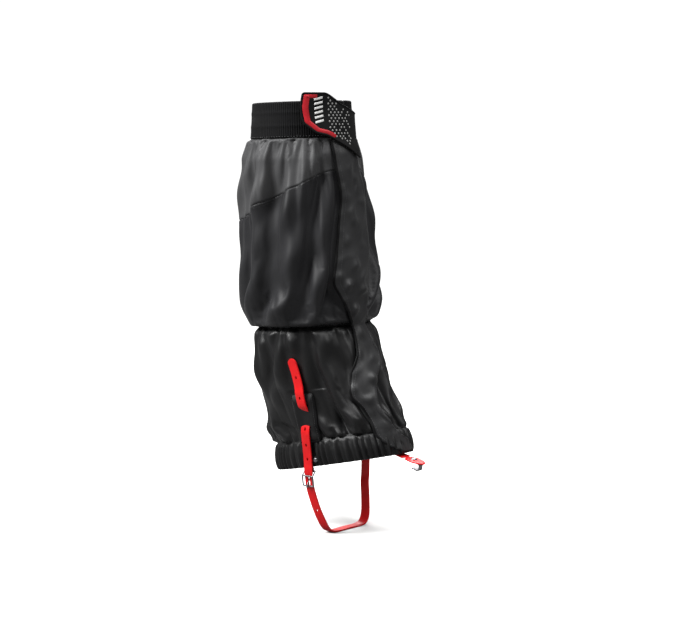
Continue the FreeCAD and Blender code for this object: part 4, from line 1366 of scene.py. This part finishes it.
def leaf_piece(name, start, end, wide, body, node):
    """Moulded leaf: at each length a flat oval section; the width follows a pointed arch to the tip."""
    path_length = np.linspace(start, end, 60) * MM
    path = LEAF_ROOT + LEAF_ALONG * path_length[:, None] - LEAF_UP * 1.0 * MM
    share = (path_length / MM - start) / (end - start)
    width = wide(share)
    out = np.broadcast_to(LEAF_UP, path.shape)
    obj = carried_bar(name, path, out, width * MM, 1.0 * MM * np.where(share > 0.9, 1 - 3 * (share - 0.9), 1),
                      red_strap_finish, 0.45, 40, 2.0 * MM)
    return finish_piece(obj, body, node)


def leaf_half_width(f):
    """Half width of the leaf in millimetres at a share f of its length, falling to a point."""
    return 8.2 + 1.8 * ramp_up(f / 0.35) - 7.4 * np.clip((f - 0.35) / 0.65, 0, 1) ** 2.2


leaf_piece("lace_leaf", 0.3, 24.9, leaf_half_width, "hook", "lace_hook_tab")
leaf_piece("lace_leaf_root", -17, -1.3, lambda f: 7.0 + 1.2 * f, "sleeve", "lace_hook_anchor")

# ------------------------------------------------------------------ metal parts kept from the frame
METAL = ["medial_rivets", "buckle_frame", "buckle_prong", "anchor_rivet", "lace_hook_rivet", "lace_hook"]
for node in METAL:
    fitting = frame["nodes"][node]
    fitting.data.materials.clear()
    fitting.data.materials.append(nickel)

# ------------------------------------------------------------------ floor and light round the gaiter
card_tree = floor_card.node_tree
bounce = add_node(card_tree, "ShaderNodeBsdfDiffuse", {"Color": linear("#707070")})
direct = add_node(card_tree, "ShaderNodeLightPath")
card = add_node(card_tree, "ShaderNodeMixShader", links={
    0: direct.outputs["Is Camera Ray"], 1: bounce.outputs[0],
    2: card_tree.nodes["Principled BSDF"].outputs[0]})
card_tree.links.new(card.outputs[0], card_tree.nodes["Material Output"].inputs["Surface"])
FLOOR_HALF = 12
floor_corners = [(-FLOOR_HALF, -FLOOR_HALF, 0), (FLOOR_HALF, -FLOOR_HALF, 0), (FLOOR_HALF, FLOOR_HALF, 0),
                 (-FLOOR_HALF, FLOOR_HALF, 0)]
floor = link_mesh("floor", floor_corners, [(0, 1, 2, 3)], floor_card)

bpy.context.scene.view_settings.view_transform = "Standard"
world = bpy.data.worlds.new("studio")
bpy.context.scene.world = world
world.use_nodes = True
sky_glow = world.node_tree.nodes["Background"]
sky_glow.inputs["Color"].default_value = (1, 1, 1, 1)
sky_glow.inputs["Strength"].default_value = 0.2
backdrop = add_node(world.node_tree, "ShaderNodeBackground", {"Color": (1, 1, 1, 1), "Strength": 1.05})
seen = add_node(world.node_tree, "ShaderNodeLightPath")
both = add_node(world.node_tree, "ShaderNodeMixShader", links={
    0: seen.outputs["Is Camera Ray"], 1: sky_glow.outputs[0], 2: backdrop.outputs[0]})
world.node_tree.links.new(both.outputs[0], world.node_tree.nodes["World Output"].inputs["Surface"])
